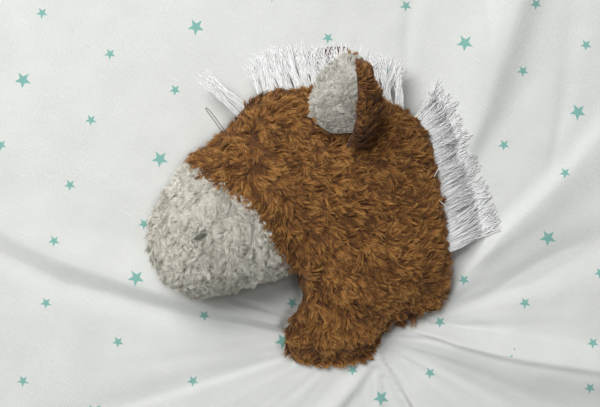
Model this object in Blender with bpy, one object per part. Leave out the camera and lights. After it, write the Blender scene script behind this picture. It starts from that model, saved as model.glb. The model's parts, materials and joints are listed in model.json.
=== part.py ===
"""Comfort blanket with a stuffed horse head, laid flat with the head on its right cheek.

Lengths are metres and +Z is up. The origin is on the floor under the middle of the neck seam, which is the middle of
the blanket too. The horse looks towards -X and its crest lies on the +Y side.
"""

import math

import bmesh
import bpy
from mathutils import Matrix, Vector

# Blanket: two layers of cloth, drawn into folds by the neck seam
BLANKET_SIDE = 0.450
CLOTH_THICKNESS = 0.0012
FOLD_HEIGHT = 0.008
FOLD_CLEARANCE = 0.004
FOLD_RISE = 0.024
CORNER_POWER = 12
EDGE_FOLD_SHARE = 0.40
CLOTH_COLUMNS = 72
CLOTH_RING_SHARES = (0.05, 0.10, 0.17, 0.27, 0.42, 0.66, 1.0)
OUTLINE_STEPS_PER_SECTION = 3

# Direction of each fold in degrees from +X, and how high it stands as a share of the fold height
FOLD_CREST_SHARES = (
    (-180, 0.10),
    (-160, 0.55),
    (-145, 0.15),
    (-120, 0.35),
    (-95, 0.0),
    (-85, 0.65),
    (-75, 0.05),
    (-60, 0.40),
    (-40, 0.10),
    (-25, 0.35),
    (-10, 0.0),
    (-5, 0.95),
    (5, 0.10),
    (20, 0.75),
    (30, 0.0),
    (40, 1.0),
    (60, 0.05),
    (70, 0.35),
    (90, 0.0),
    (145, 0.0),
    (160, 0.90),
    (170, 0.0),
    (180, 0.10),
)

# Clearance between pieces that touch on the real blanket
FIT_GAP = 0.0003

# Small values that guard a division and give the step for slopes along the head
EPSILON = 1e-12
SECTION_STEP = 0.05

# Faces that meet at a sharper angle than this are shaded with an edge
SHARP_ANGLE = math.radians(40)

# Head: nose tip to back of the neck, crest to neck seam, and cheek to cheek at the muzzle
HEAD_LENGTH = 0.150
HEAD_HEIGHT = 0.140
HEAD_THICKNESS = 0.050
PLUSH_THICKNESS = 0.003
STUFFING_GAP = 0.0009
SEAM_PINCH = 0.0004
TAPE_THICKNESS = 0.0006
TAPE_WIDTH = 0.0035
TAPE_STAND_OUT = 0.0008
SEAM_THREAD_DIAMETER = 0.001

# Each section of the head from the nose tip to the neck seam: the crest point and the throat point as shares of the
# head's length and height, and the section's thickness as a share of the head's
HEAD_SECTION_SHARES = (
    (0.059, 0.323, 0.067, 0.313, 0.04),
    (0.037, 0.364, 0.113, 0.289, 0.38),
    (0.014, 0.425, 0.160, 0.268, 0.66),
    (0.013, 0.496, 0.233, 0.280, 0.87),
    (0.032, 0.564, 0.310, 0.300, 0.97),
    (0.102, 0.675, 0.435, 0.346, 1.00),
    (0.140, 0.734, 0.457, 0.378, 0.96),
    (0.204, 0.785, 0.467, 0.371, 0.90),
    (0.290, 0.865, 0.480, 0.361, 0.86),
    (0.367, 0.955, 0.493, 0.346, 0.82),
    (0.493, 0.985, 0.503, 0.332, 0.78),
    (0.643, 0.975, 0.510, 0.314, 0.76),
    (0.793, 0.932, 0.513, 0.293, 0.73),
    (0.893, 0.854, 0.517, 0.271, 0.70),
    (0.937, 0.729, 0.517, 0.246, 0.66),
    (0.980, 0.461, 0.497, 0.186, 0.58),
    (0.990, 0.354, 0.470, 0.146, 0.48),
    (0.985, 0.260, 0.460, 0.080, 0.31),
    (0.965, 0.205, 0.470, 0.035, 0.20),
)
FULLEST_SECTION = 5
MUZZLE_SEAM_SECTION = 6
MUZZLE_SEAM_BULGE = 2.5
HEM_SECTION = 17
NECK_END_SECTION = len(HEAD_SECTION_SHARES) - 1
STUFFING_NOSE_SECTION = 0.75
STUFFING_NECK_SECTION = 16.6
FACE_ROWS = 15
MUZZLE_ROWS = 8
HALF_SECTION_COLUMNS = 10

# Nostrils: embroidered pads on both sides of the muzzle
NOSTRIL_LENGTH = 0.0075
NOSTRIL_WIDTH = 0.0024
NOSTRIL_THICKNESS = 0.0010
NOSTRIL_SECTION = 4.37
NOSTRIL_ANGLE = math.radians(83)
NOSTRIL_TURN = math.radians(-13)
NOSTRIL_COLUMNS = 10
NOSTRIL_ROWS = 6

# Ears: a plush back and a pale lining, curled along their length
EAR_LENGTH = 0.042
EAR_WIDTH = 0.041
EAR_LAYER_THICKNESS = 0.0026
EAR_EDGE_SHARE = 0.40
EAR_WIDTH_SHARES = (0.72, 0.92, 1.00, 1.00, 0.90, 0.68, 0.30)
EAR_COLUMNS = 14
EAR_ROUNDED_STEPS = 2
LINING_START_ROW = 1
LEFT_EAR_SECTION = 11.0
LEFT_EAR_ANGLE = math.radians(59)
LEFT_EAR_RISE = math.radians(26)
LEFT_EAR_LEAN = math.radians(10)
LEFT_EAR_ROLL = math.radians(-12)
LEFT_EAR_SEAT = 0.0016
LEFT_EAR_CURL = math.radians(190)
LEFT_EAR_CURL_SHARE = 0.55
RIGHT_EAR_SECTION = 10.9
RIGHT_EAR_INSET = 0.016
RIGHT_EAR_RISE = math.radians(1.5)
RIGHT_EAR_WIDTH_SHARE = 0.80

# Mane: yarn fringe on a woven tape that is sewn into the crest seam
YARN_ROOT_THICKNESS = 0.0005
YARN_BODY_THICKNESS = 0.0022
YARN_TIP_THICKNESS = 0.0012
YARN_ROW_SHARES = (0.0, 0.2, 0.45, 0.75, 1.0)
YARN_JOINED_ROWS = 2
LOCK_WIDTH_SHARE = 0.8
FORELOCK_LOCKS = 4
CROWN_LOCKS = 22
NECK_MANE_LOCKS = 20
TAPE_STEPS_PER_SECTION = 6
HINGE_STEPS = 12
FORELOCK_SECTIONS = (8.2, 8.66)
CROWN_SECTIONS = (9.0, 12.5)
NECK_MANE_SECTIONS = (12.72, 15.4)
FORELOCK_DROOP = 0.006
CROWN_DROOP = 0.0035
MANE_CLEARANCE = 0.0018

# Fringe shape along its root: share of the root's length, direction in degrees from +X, and length of the yarn
FORELOCK_LENGTH = 0.025
CROWN_LENGTH = 0.026
NECK_MANE_LENGTH = 0.028
FORELOCK_SHAPE_SHARES = ((0.0, 139, 0.92), (0.5, 136, 1.0), (1.0, 131, 0.94))
CROWN_SHAPE_SHARES = (
    (0.0, 103, 0.88),
    (0.35, 118, 1.0),
    (0.6, 96, 1.0),
    (1.0, 74, 0.84),
)
NECK_MANE_SHAPE_SHARES = (
    (0.0, 52, 0.74),
    (0.3, 34, 0.58),
    (0.6, 30, 0.78),
    (1.0, 29, 0.96),
)

# Colour and roughness of each material
MATERIALS = {
    "brown_plush": ((0.262, 0.091, 0.021), 0.95),
    "pale_plush": ((0.58, 0.565, 0.50), 0.95),
    "ear_lining": ((0.55, 0.55, 0.52), 0.95),
    "star_cloth": ((0.775, 0.783, 0.760), 0.9),
    "plain_cloth": ((0.72, 0.73, 0.71), 0.9),
    "white_yarn": ((0.83, 0.83, 0.81), 0.6),
    "mane_tape": ((0.75, 0.75, 0.73), 0.85),
    "filling": ((0.85, 0.85, 0.85), 1.0),
    "dark_thread": ((0.091, 0.091, 0.070), 0.7),
    "white_thread": ((0.80, 0.80, 0.78), 0.6),
}


def clear_scene():
    for item in list(bpy.data.objects):
        bpy.data.objects.remove(item, do_unlink=True)


def make_material(name, colour, roughness):
    material = bpy.data.materials.new(name)
    material.use_nodes = True
    shader = material.node_tree.nodes["Principled BSDF"]
    shader.inputs["Base Color"].default_value = (*colour, 1.0)
    shader.inputs["Roughness"].default_value = roughness
    shader.inputs["Metallic"].default_value = 0.0
    return material


# Curves and blends that several pieces share


def ease(value):
    """Rises smoothly from 0 to 1 as the value goes from 0 to 1."""
    value = min(max(value, 0.0), 1.0)
    return value * value * (3.0 - 2.0 * value)


def smooth_row(rows, position):
    """Reads a table of rows at a position between two of them, on a smooth curve through all of them."""
    first = min(int(position), len(rows) - 2)
    step = position - first
    before = rows[max(first - 1, 0)]
    start = rows[first]
    stop = rows[first + 1]
    after = rows[min(first + 2, len(rows) - 1)]
    values = []
    for a, b, c, d in zip(before, start, stop, after):
        bend = (2 * a - 5 * b + 4 * c - d) * step**2
        twist = (3 * b - a - 3 * c + d) * step**3
        values.append(0.5 * (2 * b + (c - a) * step + bend + twist))
    return values


def eased_row(rows, position):
    """Reads a table whose first column is the position, easing from one row to the next."""
    for start, stop in zip(rows, rows[1:]):
        if position <= stop[0]:
            share = ease((position - start[0]) / (stop[0] - start[0]))
            return [a + (b - a) * share for a, b in zip(start[1:], stop[1:])]
    return list(rows[-1][1:])


# Meshes


def place_mesh(name, vertices, faces, material, origin=None):
    """Makes a named object from vertices in world coordinates, with its origin at the given point."""
    origin = Vector(origin) if origin is not None else Vector((0.0, 0.0, 0.0))
    mesh = bpy.data.meshes.new(name)
    mesh.from_pydata([Vector(v) - origin for v in vertices], [], faces)
    shape = bmesh.new()
    shape.from_mesh(mesh)
    bmesh.ops.recalc_face_normals(shape, faces=shape.faces)
    shape.to_mesh(mesh)
    shape.free()
    mesh.shade_smooth()
    mesh.set_sharp_from_angle(angle=SHARP_ANGLE)
    mesh.materials.append(material)
    item = bpy.data.objects.new(name, mesh)
    item.location = origin
    bpy.context.scene.collection.objects.link(item)
    return item


def make_slab(name, upper, lower, material, origin, is_solid=None):
    """Closes two matching grids of points into one solid. is_solid(row, column) says which cells are material."""
    rows = len(upper)
    columns = len(upper[0])
    vertices = [point for grid in (upper, lower) for row in grid for point in row]

    def solid(row, column):
        inside = 0 <= row < rows - 1 and 0 <= column < columns - 1
        return inside and (is_solid is None or is_solid(row, column))

    def corner(row, column, side):
        return side * rows * columns + row * columns + column

    faces = []
    for row in range(rows - 1):
        for column in range(columns - 1):
            if not solid(row, column):
                continue
            corners = [
                (row, column),
                (row, column + 1),
                (row + 1, column + 1),
                (row + 1, column),
            ]
            a, b, c, d = corners
            for side, triangles in enumerate((((a, b, c), (a, c, d)), ((c, b, a), (d, c, a)))):
                for triangle in triangles:
                    faces.append([corner(*cell, side) for cell in triangle])
            neighbours = (
                (row - 1, column),
                (row, column + 1),
                (row + 1, column),
                (row, column - 1),
            )
            for side, neighbour in enumerate(neighbours):
                if solid(*neighbour):
                    continue
                a = corners[side]
                b = corners[(side + 1) % 4]
                faces.append([corner(*b, 0), corner(*a, 0), corner(*a, 1), corner(*b, 1)])
    used = sorted({index for face in faces for index in face})
    kept = {old: new for new, old in enumerate(used)}
    faces = [[kept[index] for index in face] for face in faces]
    vertices = [vertices[index] for index in used]
    return place_mesh(name, vertices, faces, material, origin)


def make_loft(name, rings, material, origin):
    """Joins closed rings of points into one solid with flat ends."""
    count = len(rings[0])
    vertices = [point for ring in rings for point in ring]
    faces = []
    for row in range(len(rings) - 1):
        for column in range(count):
            following = (column + 1) % count
            faces.append(
                [
                    row * count + column,
                    row * count + following,
                    (row + 1) * count + following,
                    (row + 1) * count + column,
                ]
            )
    faces.append(list(range(count)))
    faces.append(list(range((len(rings) - 1) * count, len(rings) * count)))
    return place_mesh(name, vertices, faces, material, origin)


# Head form


def section_points(section):
    """Crest point, throat point and half thickness of the head at a section, before the head is placed."""
    crest_x, crest_y, throat_x, throat_y, thickness = smooth_row(
        HEAD_SECTION_SHARES, section
    )
    crest = Vector((crest_x * HEAD_LENGTH, crest_y * HEAD_HEIGHT, 0.0))
    throat = Vector((throat_x * HEAD_LENGTH, throat_y * HEAD_HEIGHT, 0.0))
    return crest, throat, 0.5 * thickness * HEAD_THICKNESS


CLOTH_TOP = 2 * CLOTH_THICKNESS + FIT_GAP
TAPE_GAP = 0.5 * TAPE_THICKNESS + FIT_GAP
REST_LEVEL = CLOTH_TOP + FIT_GAP + TAPE_GAP
SEAM_CLEARANCE = 0.5 * SEAM_THREAD_DIAMETER + FIT_GAP
HINGE_LEVEL = CLOTH_TOP + SEAM_CLEARANCE

NECK_CREST, NECK_THROAT, _ = section_points(NECK_END_SECTION)
NECK_LINE = (NECK_CREST - NECK_THROAT).normalized()
NECK_WIDTH = (NECK_CREST - NECK_THROAT).length
TO_HEAD = Vector((-NECK_LINE.y, NECK_LINE.x, 0.0))
HEAD_PLACE = TO_HEAD * SEAM_CLEARANCE - (NECK_CREST + NECK_THROAT) * 0.5
HEAD_HINGE = Vector((0.0, 0.0, HINGE_LEVEL))


def head_section(section):
    """Centre, direction to the crest, half height and half thickness of the placed head at a section."""
    crest, throat, half_thickness = section_points(section)
    centre = (crest + throat) * 0.5 + HEAD_PLACE
    rests = section > FULLEST_SECTION
    centre.z = REST_LEVEL + (half_thickness if rests else 0.5 * HEAD_THICKNESS)
    reach = (crest - throat) * 0.5
    return centre, reach.normalized(), reach.length, half_thickness


def seam_lift(section, angle):
    """Half of the gap between the two side panels: it holds the mane tape on the crest of the face."""
    at_crest = 0.5 * (1.0 + math.cos(angle))
    has_tape = ease(section - MUZZLE_SEAM_SECTION)
    return 0.5 * FIT_GAP + (TAPE_GAP - 0.5 * FIT_GAP) * at_crest * has_tape


def head_point(section, angle, inset=0.0, hem=False):
    """A point of the head's section: angle 0 is the crest, a quarter turn the left cheek, half a turn the throat."""
    centre, to_crest, half_height, half_thickness = head_section(section)
    across = max(half_height - inset, SEAM_PINCH)
    out = max(half_thickness - inset, SEAM_PINCH)
    if hem:
        out = max(out * ease(HEM_SECTION - section), SEAM_PINCH)
    point = centre + to_crest * (across * math.cos(angle))
    point.z += out * math.sin(angle)
    return point


def crest_point(section, stand_out=0.0):
    """A point in the crest seam's plane, outside the edge of the panels by stand_out."""
    here = head_point(section, 0.0)
    ahead = head_point(section + SECTION_STEP, 0.0)
    behind = head_point(section - SECTION_STEP, 0.0)
    run = ahead - behind
    outward = Vector((-run.y, run.x, 0.0)).normalized()
    if outward.dot(head_section(section)[1]) < 0.0:
        outward.negate()
    return here + outward * stand_out


def muzzle_seam_section(angle):
    """Where the muzzle's seam crosses a section angle: it bows back over each cheek, more so by the throat."""
    return (
        MUZZLE_SEAM_SECTION
        + MUZZLE_SEAM_BULGE * math.sin(angle) ** 2 * math.sin(0.5 * angle) ** 2
    )


def panel_point(row_share, angle, start, stop, inset, seam_at_start, hem):
    """A point of a side panel between two ends, moved half a gap away from the muzzle seam."""
    section = start + (stop - start) * row_share
    point = head_point(section, angle, inset, hem)
    on_seam = row_share == 0.0 if seam_at_start else row_share == 1.0
    if on_seam:
        run = head_point(section + SECTION_STEP, angle, inset) - head_point(
            section - SECTION_STEP, angle, inset
        )
        point += run.normalized() * (
            0.5 * FIT_GAP if seam_at_start else -0.5 * FIT_GAP
        )
    return point


def make_panel(name, side, is_face, material):
    """One side panel: side 1 is the left cheek on top, side -1 the right cheek on the blanket."""
    rows = FACE_ROWS if is_face else MUZZLE_ROWS
    grids = []
    for inset in (0.0, PLUSH_THICKNESS):
        grid = []
        for row in range(rows + 1):
            share = row / rows
            line = []
            for column in range(HALF_SECTION_COLUMNS + 1):
                angle = math.pi * column / HALF_SECTION_COLUMNS
                seam = muzzle_seam_section(angle)
                nose = STUFFING_NOSE_SECTION if inset else 0.0
                ends = (seam, NECK_END_SECTION) if is_face else (nose, seam)
                hem = inset > 0.0
                point = panel_point(share, side * angle, *ends, inset, is_face, hem)
                section = ends[0] + (ends[1] - ends[0]) * share
                point.z += side * seam_lift(section, angle)
                line.append(point)
            grid.append(line)
        grids.append(grid)
    return make_slab(name, grids[0], grids[1], material, HEAD_HINGE)


def make_stuffing(material):
    """The filling: one mass from the nose to the unstuffed hem, a gap inside the panels."""
    rows = FACE_ROWS + MUZZLE_ROWS
    columns = 2 * HALF_SECTION_COLUMNS
    inset = PLUSH_THICKNESS + STUFFING_GAP
    rings = []
    for row in range(rows + 1):
        share = row / rows
        start = STUFFING_NOSE_SECTION + SECTION_STEP
        section = start + (STUFFING_NECK_SECTION - start) * share
        angles = [2 * math.pi * column / columns for column in range(columns)]
        rings.append([head_point(section, angle, inset, True) for angle in angles])
    return make_loft("head_stuffing", rings, material, HEAD_HINGE)


def surface_frame(section, angle):
    """A point on the head, with the outward normal and the direction towards the neck."""
    point = head_point(section, angle)
    along = head_point(section + SECTION_STEP, angle) - head_point(
        section - SECTION_STEP, angle
    )
    around = head_point(section, angle + SECTION_STEP) - head_point(
        section, angle - SECTION_STEP
    )
    normal = along.cross(around).normalized()
    if normal.dot(point - head_section(section)[0]) < 0.0:
        normal.negate()
    return point, normal, along.normalized()


def make_nostril(name, side, material):
    """A satin-stitched slit, a low oval pad on the muzzle."""
    point, normal, along = surface_frame(NOSTRIL_SECTION, side * NOSTRIL_ANGLE)
    along = Matrix.Rotation(side * NOSTRIL_TURN, 3, normal) @ along
    across = normal.cross(along)
    shape = bmesh.new()
    bmesh.ops.create_uvsphere(
        shape, u_segments=NOSTRIL_COLUMNS, v_segments=NOSTRIL_ROWS, radius=0.5
    )
    turn = Matrix((across, normal, along)).transposed()
    size = Vector((NOSTRIL_WIDTH, NOSTRIL_THICKNESS, NOSTRIL_LENGTH))
    centre = point + normal * (0.5 * NOSTRIL_THICKNESS + FIT_GAP)
    vertices = [
        centre + turn @ Vector([a * b for a, b in zip(vertex.co, size)])
        for vertex in shape.verts
    ]
    faces = [[vertex.index for vertex in face.verts] for face in shape.faces]
    shape.free()
    return place_mesh(name, vertices, faces, material, HEAD_HINGE)


# Blanket


def head_outline():
    """The head's outline on the blanket, down the crest side and back up the throat side."""
    steps = OUTLINE_STEPS_PER_SECTION * NECK_END_SECTION
    sections = [NECK_END_SECTION * step / steps for step in range(steps + 1)]
    crest = [head_point(section, 0.0) for section in sections]
    throat = [head_point(section, math.pi) for section in reversed(sections)]
    return crest + throat


def distance_outside(point, outline):
    """Distance from a point of the blanket to the outline, and 0 inside it."""
    inside = False
    nearest = BLANKET_SIDE
    for a, b in zip(outline, outline[1:] + outline[:1]):
        run = (b - a).xy
        gap = (point - a).xy
        share = min(max(gap.dot(run) / max(run.length_squared, EPSILON), 0.0), 1.0)
        nearest = min(nearest, (gap - run * share).length)
        if (a.y > point.y) != (b.y > point.y):
            crossing = a.x + (point.y - a.y) * (b.x - a.x) / (b.y - a.y)
            if point.x < crossing:
                inside = not inside
    return 0.0 if inside else nearest


def fold_lift(point, outline):
    """How far the folds raise the cloth at a point. It lies flat under the head and calms towards its edge."""
    degrees = math.degrees(math.atan2(point.y, point.x))
    share = eased_row(FOLD_CREST_SHARES, degrees)[0]
    free = distance_outside(point, outline) - FOLD_CLEARANCE
    reach = point.xy.length / edge_distance(math.radians(degrees))
    calm = 1.0 - (1.0 - EDGE_FOLD_SHARE) * ease(reach)
    return FOLD_HEIGHT * share * ease(free / FOLD_RISE) * calm


def edge_distance(angle):
    """Distance from the blanket's centre to its edge: a square with rounded corners."""
    spread = abs(math.cos(angle)) ** CORNER_POWER + abs(math.sin(angle)) ** CORNER_POWER
    return 0.5 * BLANKET_SIDE / spread ** (1.0 / CORNER_POWER)


def make_cloth(name, level, outline, material):
    """One layer of the blanket, whose underside is at the given level where it lies flat."""
    vertices = []
    for side_height in (CLOTH_THICKNESS, 0.0):
        vertices.append(Vector((0.0, 0.0, level + side_height)))
        for share in CLOTH_RING_SHARES:
            for column in range(CLOTH_COLUMNS):
                angle = 2 * math.pi * column / CLOTH_COLUMNS
                reach = share * edge_distance(angle)
                point = Vector((reach * math.cos(angle), reach * math.sin(angle), 0.0))
                point.z = level + side_height + fold_lift(point, outline)
                vertices.append(point)
    layer = 1 + len(CLOTH_RING_SHARES) * CLOTH_COLUMNS

    def ring_vertex(side, ring, column):
        return side * layer + 1 + ring * CLOTH_COLUMNS + column % CLOTH_COLUMNS

    faces = []
    last = len(CLOTH_RING_SHARES) - 1
    for column in range(CLOTH_COLUMNS):
        for side in (0, 1):
            a = ring_vertex(side, 0, column)
            b = ring_vertex(side, 0, column + 1)
            faces.append([side * layer, a, b] if side == 0 else [side * layer, b, a])
            for ring in range(last):
                a = ring_vertex(side, ring, column)
                b = ring_vertex(side, ring + 1, column)
                c = ring_vertex(side, ring + 1, column + 1)
                d = ring_vertex(side, ring, column + 1)
                faces += [[a, b, c], [a, c, d]] if side == 0 else [[c, b, a], [d, c, a]]
        faces.append(
            [
                ring_vertex(0, last, column),
                ring_vertex(1, last, column),
                ring_vertex(1, last, column + 1),
                ring_vertex(0, last, column + 1),
            ]
        )
    return place_mesh(name, vertices, faces, material)


def make_neck_seam(material):
    """The thread that holds the neck's end on the blanket, on the line that the head tips up about."""
    curve = bpy.data.curves.new("neck_seam", "CURVE")
    curve.dimensions = "3D"
    curve.bevel_depth = 0.5 * SEAM_THREAD_DIAMETER
    curve.bevel_resolution = 1
    curve.render_resolution_u = 0
    curve.use_fill_caps = True
    line = curve.splines.new("POLY")
    half = 0.5 * NECK_WIDTH - PLUSH_THICKNESS
    line.points.add(1)
    for point, end in zip(line.points, (-half, half)):
        point.co = (*(NECK_LINE * end), 1.0)
    curve.materials.append(material)
    item = bpy.data.objects.new("neck_seam", curve)
    item.location = HEAD_HINGE
    bpy.context.scene.collection.objects.link(item)
    return item


# Ears


def ear_section(width, curl, curl_share):
    """The curled line across an ear: points and headings from its free edge to its curled edge."""
    points = [Vector((0.0, 0.0))]
    headings = []
    for column in range(EAR_COLUMNS):
        share = (column + 0.5) / EAR_COLUMNS
        heading = curl * max(share - curl_share, 0.0) / (1.0 - curl_share)
        headings.append(heading)
        step = Vector((math.cos(heading), math.sin(heading)))
        points.append(points[-1] + step * (width / EAR_COLUMNS))
    edge_headings = [headings[0]]
    edge_headings += [0.5 * (a + b) for a, b in zip(headings, headings[1:])]
    edge_headings.append(headings[-1])
    left = min(point.x for point in points)
    right = max(point.x for point in points)
    middle = Vector((0.5 * (left + right), 0.0))
    return [point - middle for point in points], edge_headings


def make_ear_layer(name, frame, width, curl, curl_share, roll, outer_side, rows, material):
    """One layer of an ear. outer_side 1 is the lining in the hollow, -1 the back on the outside."""
    grids = [[], []]
    last = len(EAR_WIDTH_SHARES) - 1
    for row in rows:
        along = EAR_LENGTH * row / last
        twist = Matrix.Rotation(roll * ease(row / last), 3, "Y")
        row_width = width * EAR_WIDTH_SHARES[row]
        points, headings = ear_section(row_width, curl, curl_share)
        from_end = min(row - rows[0], last - row) / EAR_ROUNDED_STEPS
        end_share = min(1.0, EAR_EDGE_SHARE + from_end)
        for side in (0, 1):
            line = []
            for column, (point, heading) in enumerate(zip(points, headings)):
                from_edge = min(column, EAR_COLUMNS - column) / EAR_ROUNDED_STEPS
                edge_share = min(1.0, EAR_EDGE_SHARE + from_edge)
                depth = EAR_LAYER_THICKNESS * min(edge_share, end_share) * side
                offset = outer_side * (0.5 * FIT_GAP + depth)
                normal = Vector((-math.sin(heading), math.cos(heading)))
                spot = point + normal * offset
                line.append(frame @ (twist @ Vector((spot.x, along, spot.y))))
            grids[side].append(line)
    return make_slab(name, grids[0], grids[1], material, frame.translation)


def left_ear_frame():
    """Seat of the left ear on the cheek: X across the ear, Y along it, Z into its hollow. It leans to the neck."""
    point, normal, _ = surface_frame(LEFT_EAR_SECTION, LEFT_EAR_ANGLE)
    seat = point + normal * LEFT_EAR_SEAT
    along = Vector((math.sin(LEFT_EAR_LEAN), math.cos(LEFT_EAR_LEAN), 0.0))
    across = along.cross(normal).normalized()
    turn = Matrix((across, along, across.cross(along))).transposed().to_4x4()
    return Matrix.Translation(seat) @ turn @ Matrix.Rotation(LEFT_EAR_RISE, 4, "X")


def right_ear_frame():
    """Seat of the right ear, which lies on the blanket under the edge of the head with its lining down."""
    edge = head_point(RIGHT_EAR_SECTION, 0.0)
    level = CLOTH_TOP + EAR_LAYER_THICKNESS + 2 * FIT_GAP
    seat = Vector((edge.x, edge.y - RIGHT_EAR_INSET, level))
    flip = Matrix.Rotation(math.pi, 4, "Y")
    rise = Matrix.Rotation(RIGHT_EAR_RISE, 4, "X")
    return Matrix.Translation(seat) @ rise @ flip


def make_ears(plush, lining):
    all_rows = list(range(len(EAR_WIDTH_SHARES)))
    lined_rows = all_rows[LINING_START_ROW:]
    left_curl = (LEFT_EAR_CURL, LEFT_EAR_CURL_SHARE, LEFT_EAR_ROLL)
    no_curl = (0.0, 0.0, 0.0)
    ears = (
        ("ear_left", left_ear_frame(), EAR_WIDTH, left_curl),
        ("ear_right", right_ear_frame(), EAR_WIDTH * RIGHT_EAR_WIDTH_SHARE, no_curl),
    )
    for name, frame, width, curl in ears:
        make_ear_layer(name + "_back", frame, width, *curl, -1, all_rows, plush)
        make_ear_layer(name + "_lining", frame, width, *curl, 1, lined_rows, lining)


# Mane


def make_tape(material):
    """The fringe's woven heading, held in the crest seam from the forelock to the neck."""
    start = FORELOCK_SECTIONS[0]
    stop = NECK_MANE_SECTIONS[1]
    steps = TAPE_STEPS_PER_SECTION * math.ceil(stop - start)
    grids = []
    for side in (1, -1):
        grid = []
        for step in range(steps + 1):
            section = start + (stop - start) * step / steps
            line = []
            for stand_out in (TAPE_STAND_OUT - TAPE_WIDTH, TAPE_STAND_OUT):
                point = crest_point(section, stand_out)
                point.z += side * 0.5 * TAPE_THICKNESS
                line.append(point)
            grid.append(line)
        grids.append(grid)
    return make_slab("mane_tape", grids[0], grids[1], material, HEAD_HINGE)


def fringe_root(section):
    return crest_point(section, TAPE_STAND_OUT + FIT_GAP)


def fringe_axis(sections):
    """The line that a fringe turns about: along its root, just outside the root's fullest point."""
    roots = []
    for step in range(HINGE_STEPS + 1):
        section = sections[0] + (sections[1] - sections[0]) * step / HINGE_STEPS
        roots.append(fringe_root(section))
    run = (roots[-1] - roots[0]).normalized()
    outward = Vector((-run.y, run.x, 0.0)).normalized()
    if outward.dot(head_section(sections[0])[1]) < 0.0:
        outward.negate()
    upward = Vector((0.0, 0.0, 1.0))
    stand_out = max((root - roots[0]).dot(outward) for root in roots)
    rise = max((root - roots[0] - run * (root - roots[0]).dot(run)).z for root in roots)
    middle = (roots[0] + roots[-1]) * 0.5 + outward * stand_out + upward * rise
    return middle, run


def make_fringe(name, sections, length, shape, droop, locks, material, outline, origin):
    """A fringe of yarn: locks that are joined along their root and free at their tips."""
    thicknesses = (
        YARN_ROOT_THICKNESS,
        YARN_BODY_THICKNESS,
        YARN_BODY_THICKNESS,
        YARN_BODY_THICKNESS,
        YARN_TIP_THICKNESS,
    )
    columns = []
    for lock in range(locks):
        for share in (0.0, LOCK_WIDTH_SHARE):
            columns.append((lock + share) / (locks - 1 + LOCK_WIDTH_SHARE))
    grids = [[], []]
    for row_share, thickness in zip(YARN_ROW_SHARES, thicknesses):
        for grid, side in zip(grids, (1, -1)):
            line = []
            for column in columns:
                section = sections[0] + (sections[1] - sections[0]) * column
                degrees, reach = eased_row(shape, column)
                direction = Vector(
                    (math.cos(math.radians(degrees)), math.sin(math.radians(degrees)), 0.0)
                )
                point = fringe_root(section) + direction * (length * reach * row_share)
                cloth = CLOTH_TOP + fold_lift(point, outline)
                floor = cloth + MANE_CLEARANCE + 0.5 * thickness
                point.z = max(point.z - droop * row_share**2, floor)
                point.z += side * 0.5 * thickness
                line.append(point)
            grid.append(line)

    def is_solid(row, column):
        return column % 2 == 0 or row < YARN_JOINED_ROWS

    return make_slab(name, grids[0], grids[1], material, origin, is_solid)


def main():
    clear_scene()
    finish = {name: make_material(name, *values) for name, values in MATERIALS.items()}
    outline = head_outline()
    make_cloth("blanket_back", 0.0, outline, finish["plain_cloth"])
    make_cloth("blanket_front", CLOTH_THICKNESS + FIT_GAP, outline, finish["star_cloth"])
    make_neck_seam(finish["white_thread"])
    for name, side in (("left", 1), ("right", -1)):
        make_panel("face_panel_" + name, side, True, finish["brown_plush"])
        make_panel("muzzle_panel_" + name, side, False, finish["pale_plush"])
        make_nostril("nostril_" + name, side, finish["dark_thread"])
    make_stuffing(finish["filling"])
    make_ears(finish["brown_plush"], finish["ear_lining"])
    make_tape(finish["mane_tape"])
    fringes = (
        ("forelock", FORELOCK_SECTIONS, FORELOCK_LENGTH, FORELOCK_SHAPE_SHARES, FORELOCK_DROOP, FORELOCK_LOCKS),
        ("crown_fringe", CROWN_SECTIONS, CROWN_LENGTH, CROWN_SHAPE_SHARES, CROWN_DROOP, CROWN_LOCKS),
        ("neck_mane", NECK_MANE_SECTIONS, NECK_MANE_LENGTH, NECK_MANE_SHAPE_SHARES, HEAD_THICKNESS, NECK_MANE_LOCKS),
    )
    for name, sections, length, shape, droop, locks in fringes:
        origin = fringe_axis(sections)[0]
        make_fringe(name, sections, length, shape, droop, locks, finish["white_yarn"], outline, origin)


main()
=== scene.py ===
# %% [markdown]
# # A comfort blanket with a horse head
# The object is a square of printed cloth with a stuffed horse head sewn to its middle.
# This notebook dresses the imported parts: cloth with folds, plush with real tufts, yarn
# for the mane and embroidered nostrils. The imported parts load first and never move, and
# each new piece is built where the part that it stands for lies.

import json
import math

import bpy
import numpy as np
from mathutils import Matrix, Vector, kdtree, noise


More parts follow.
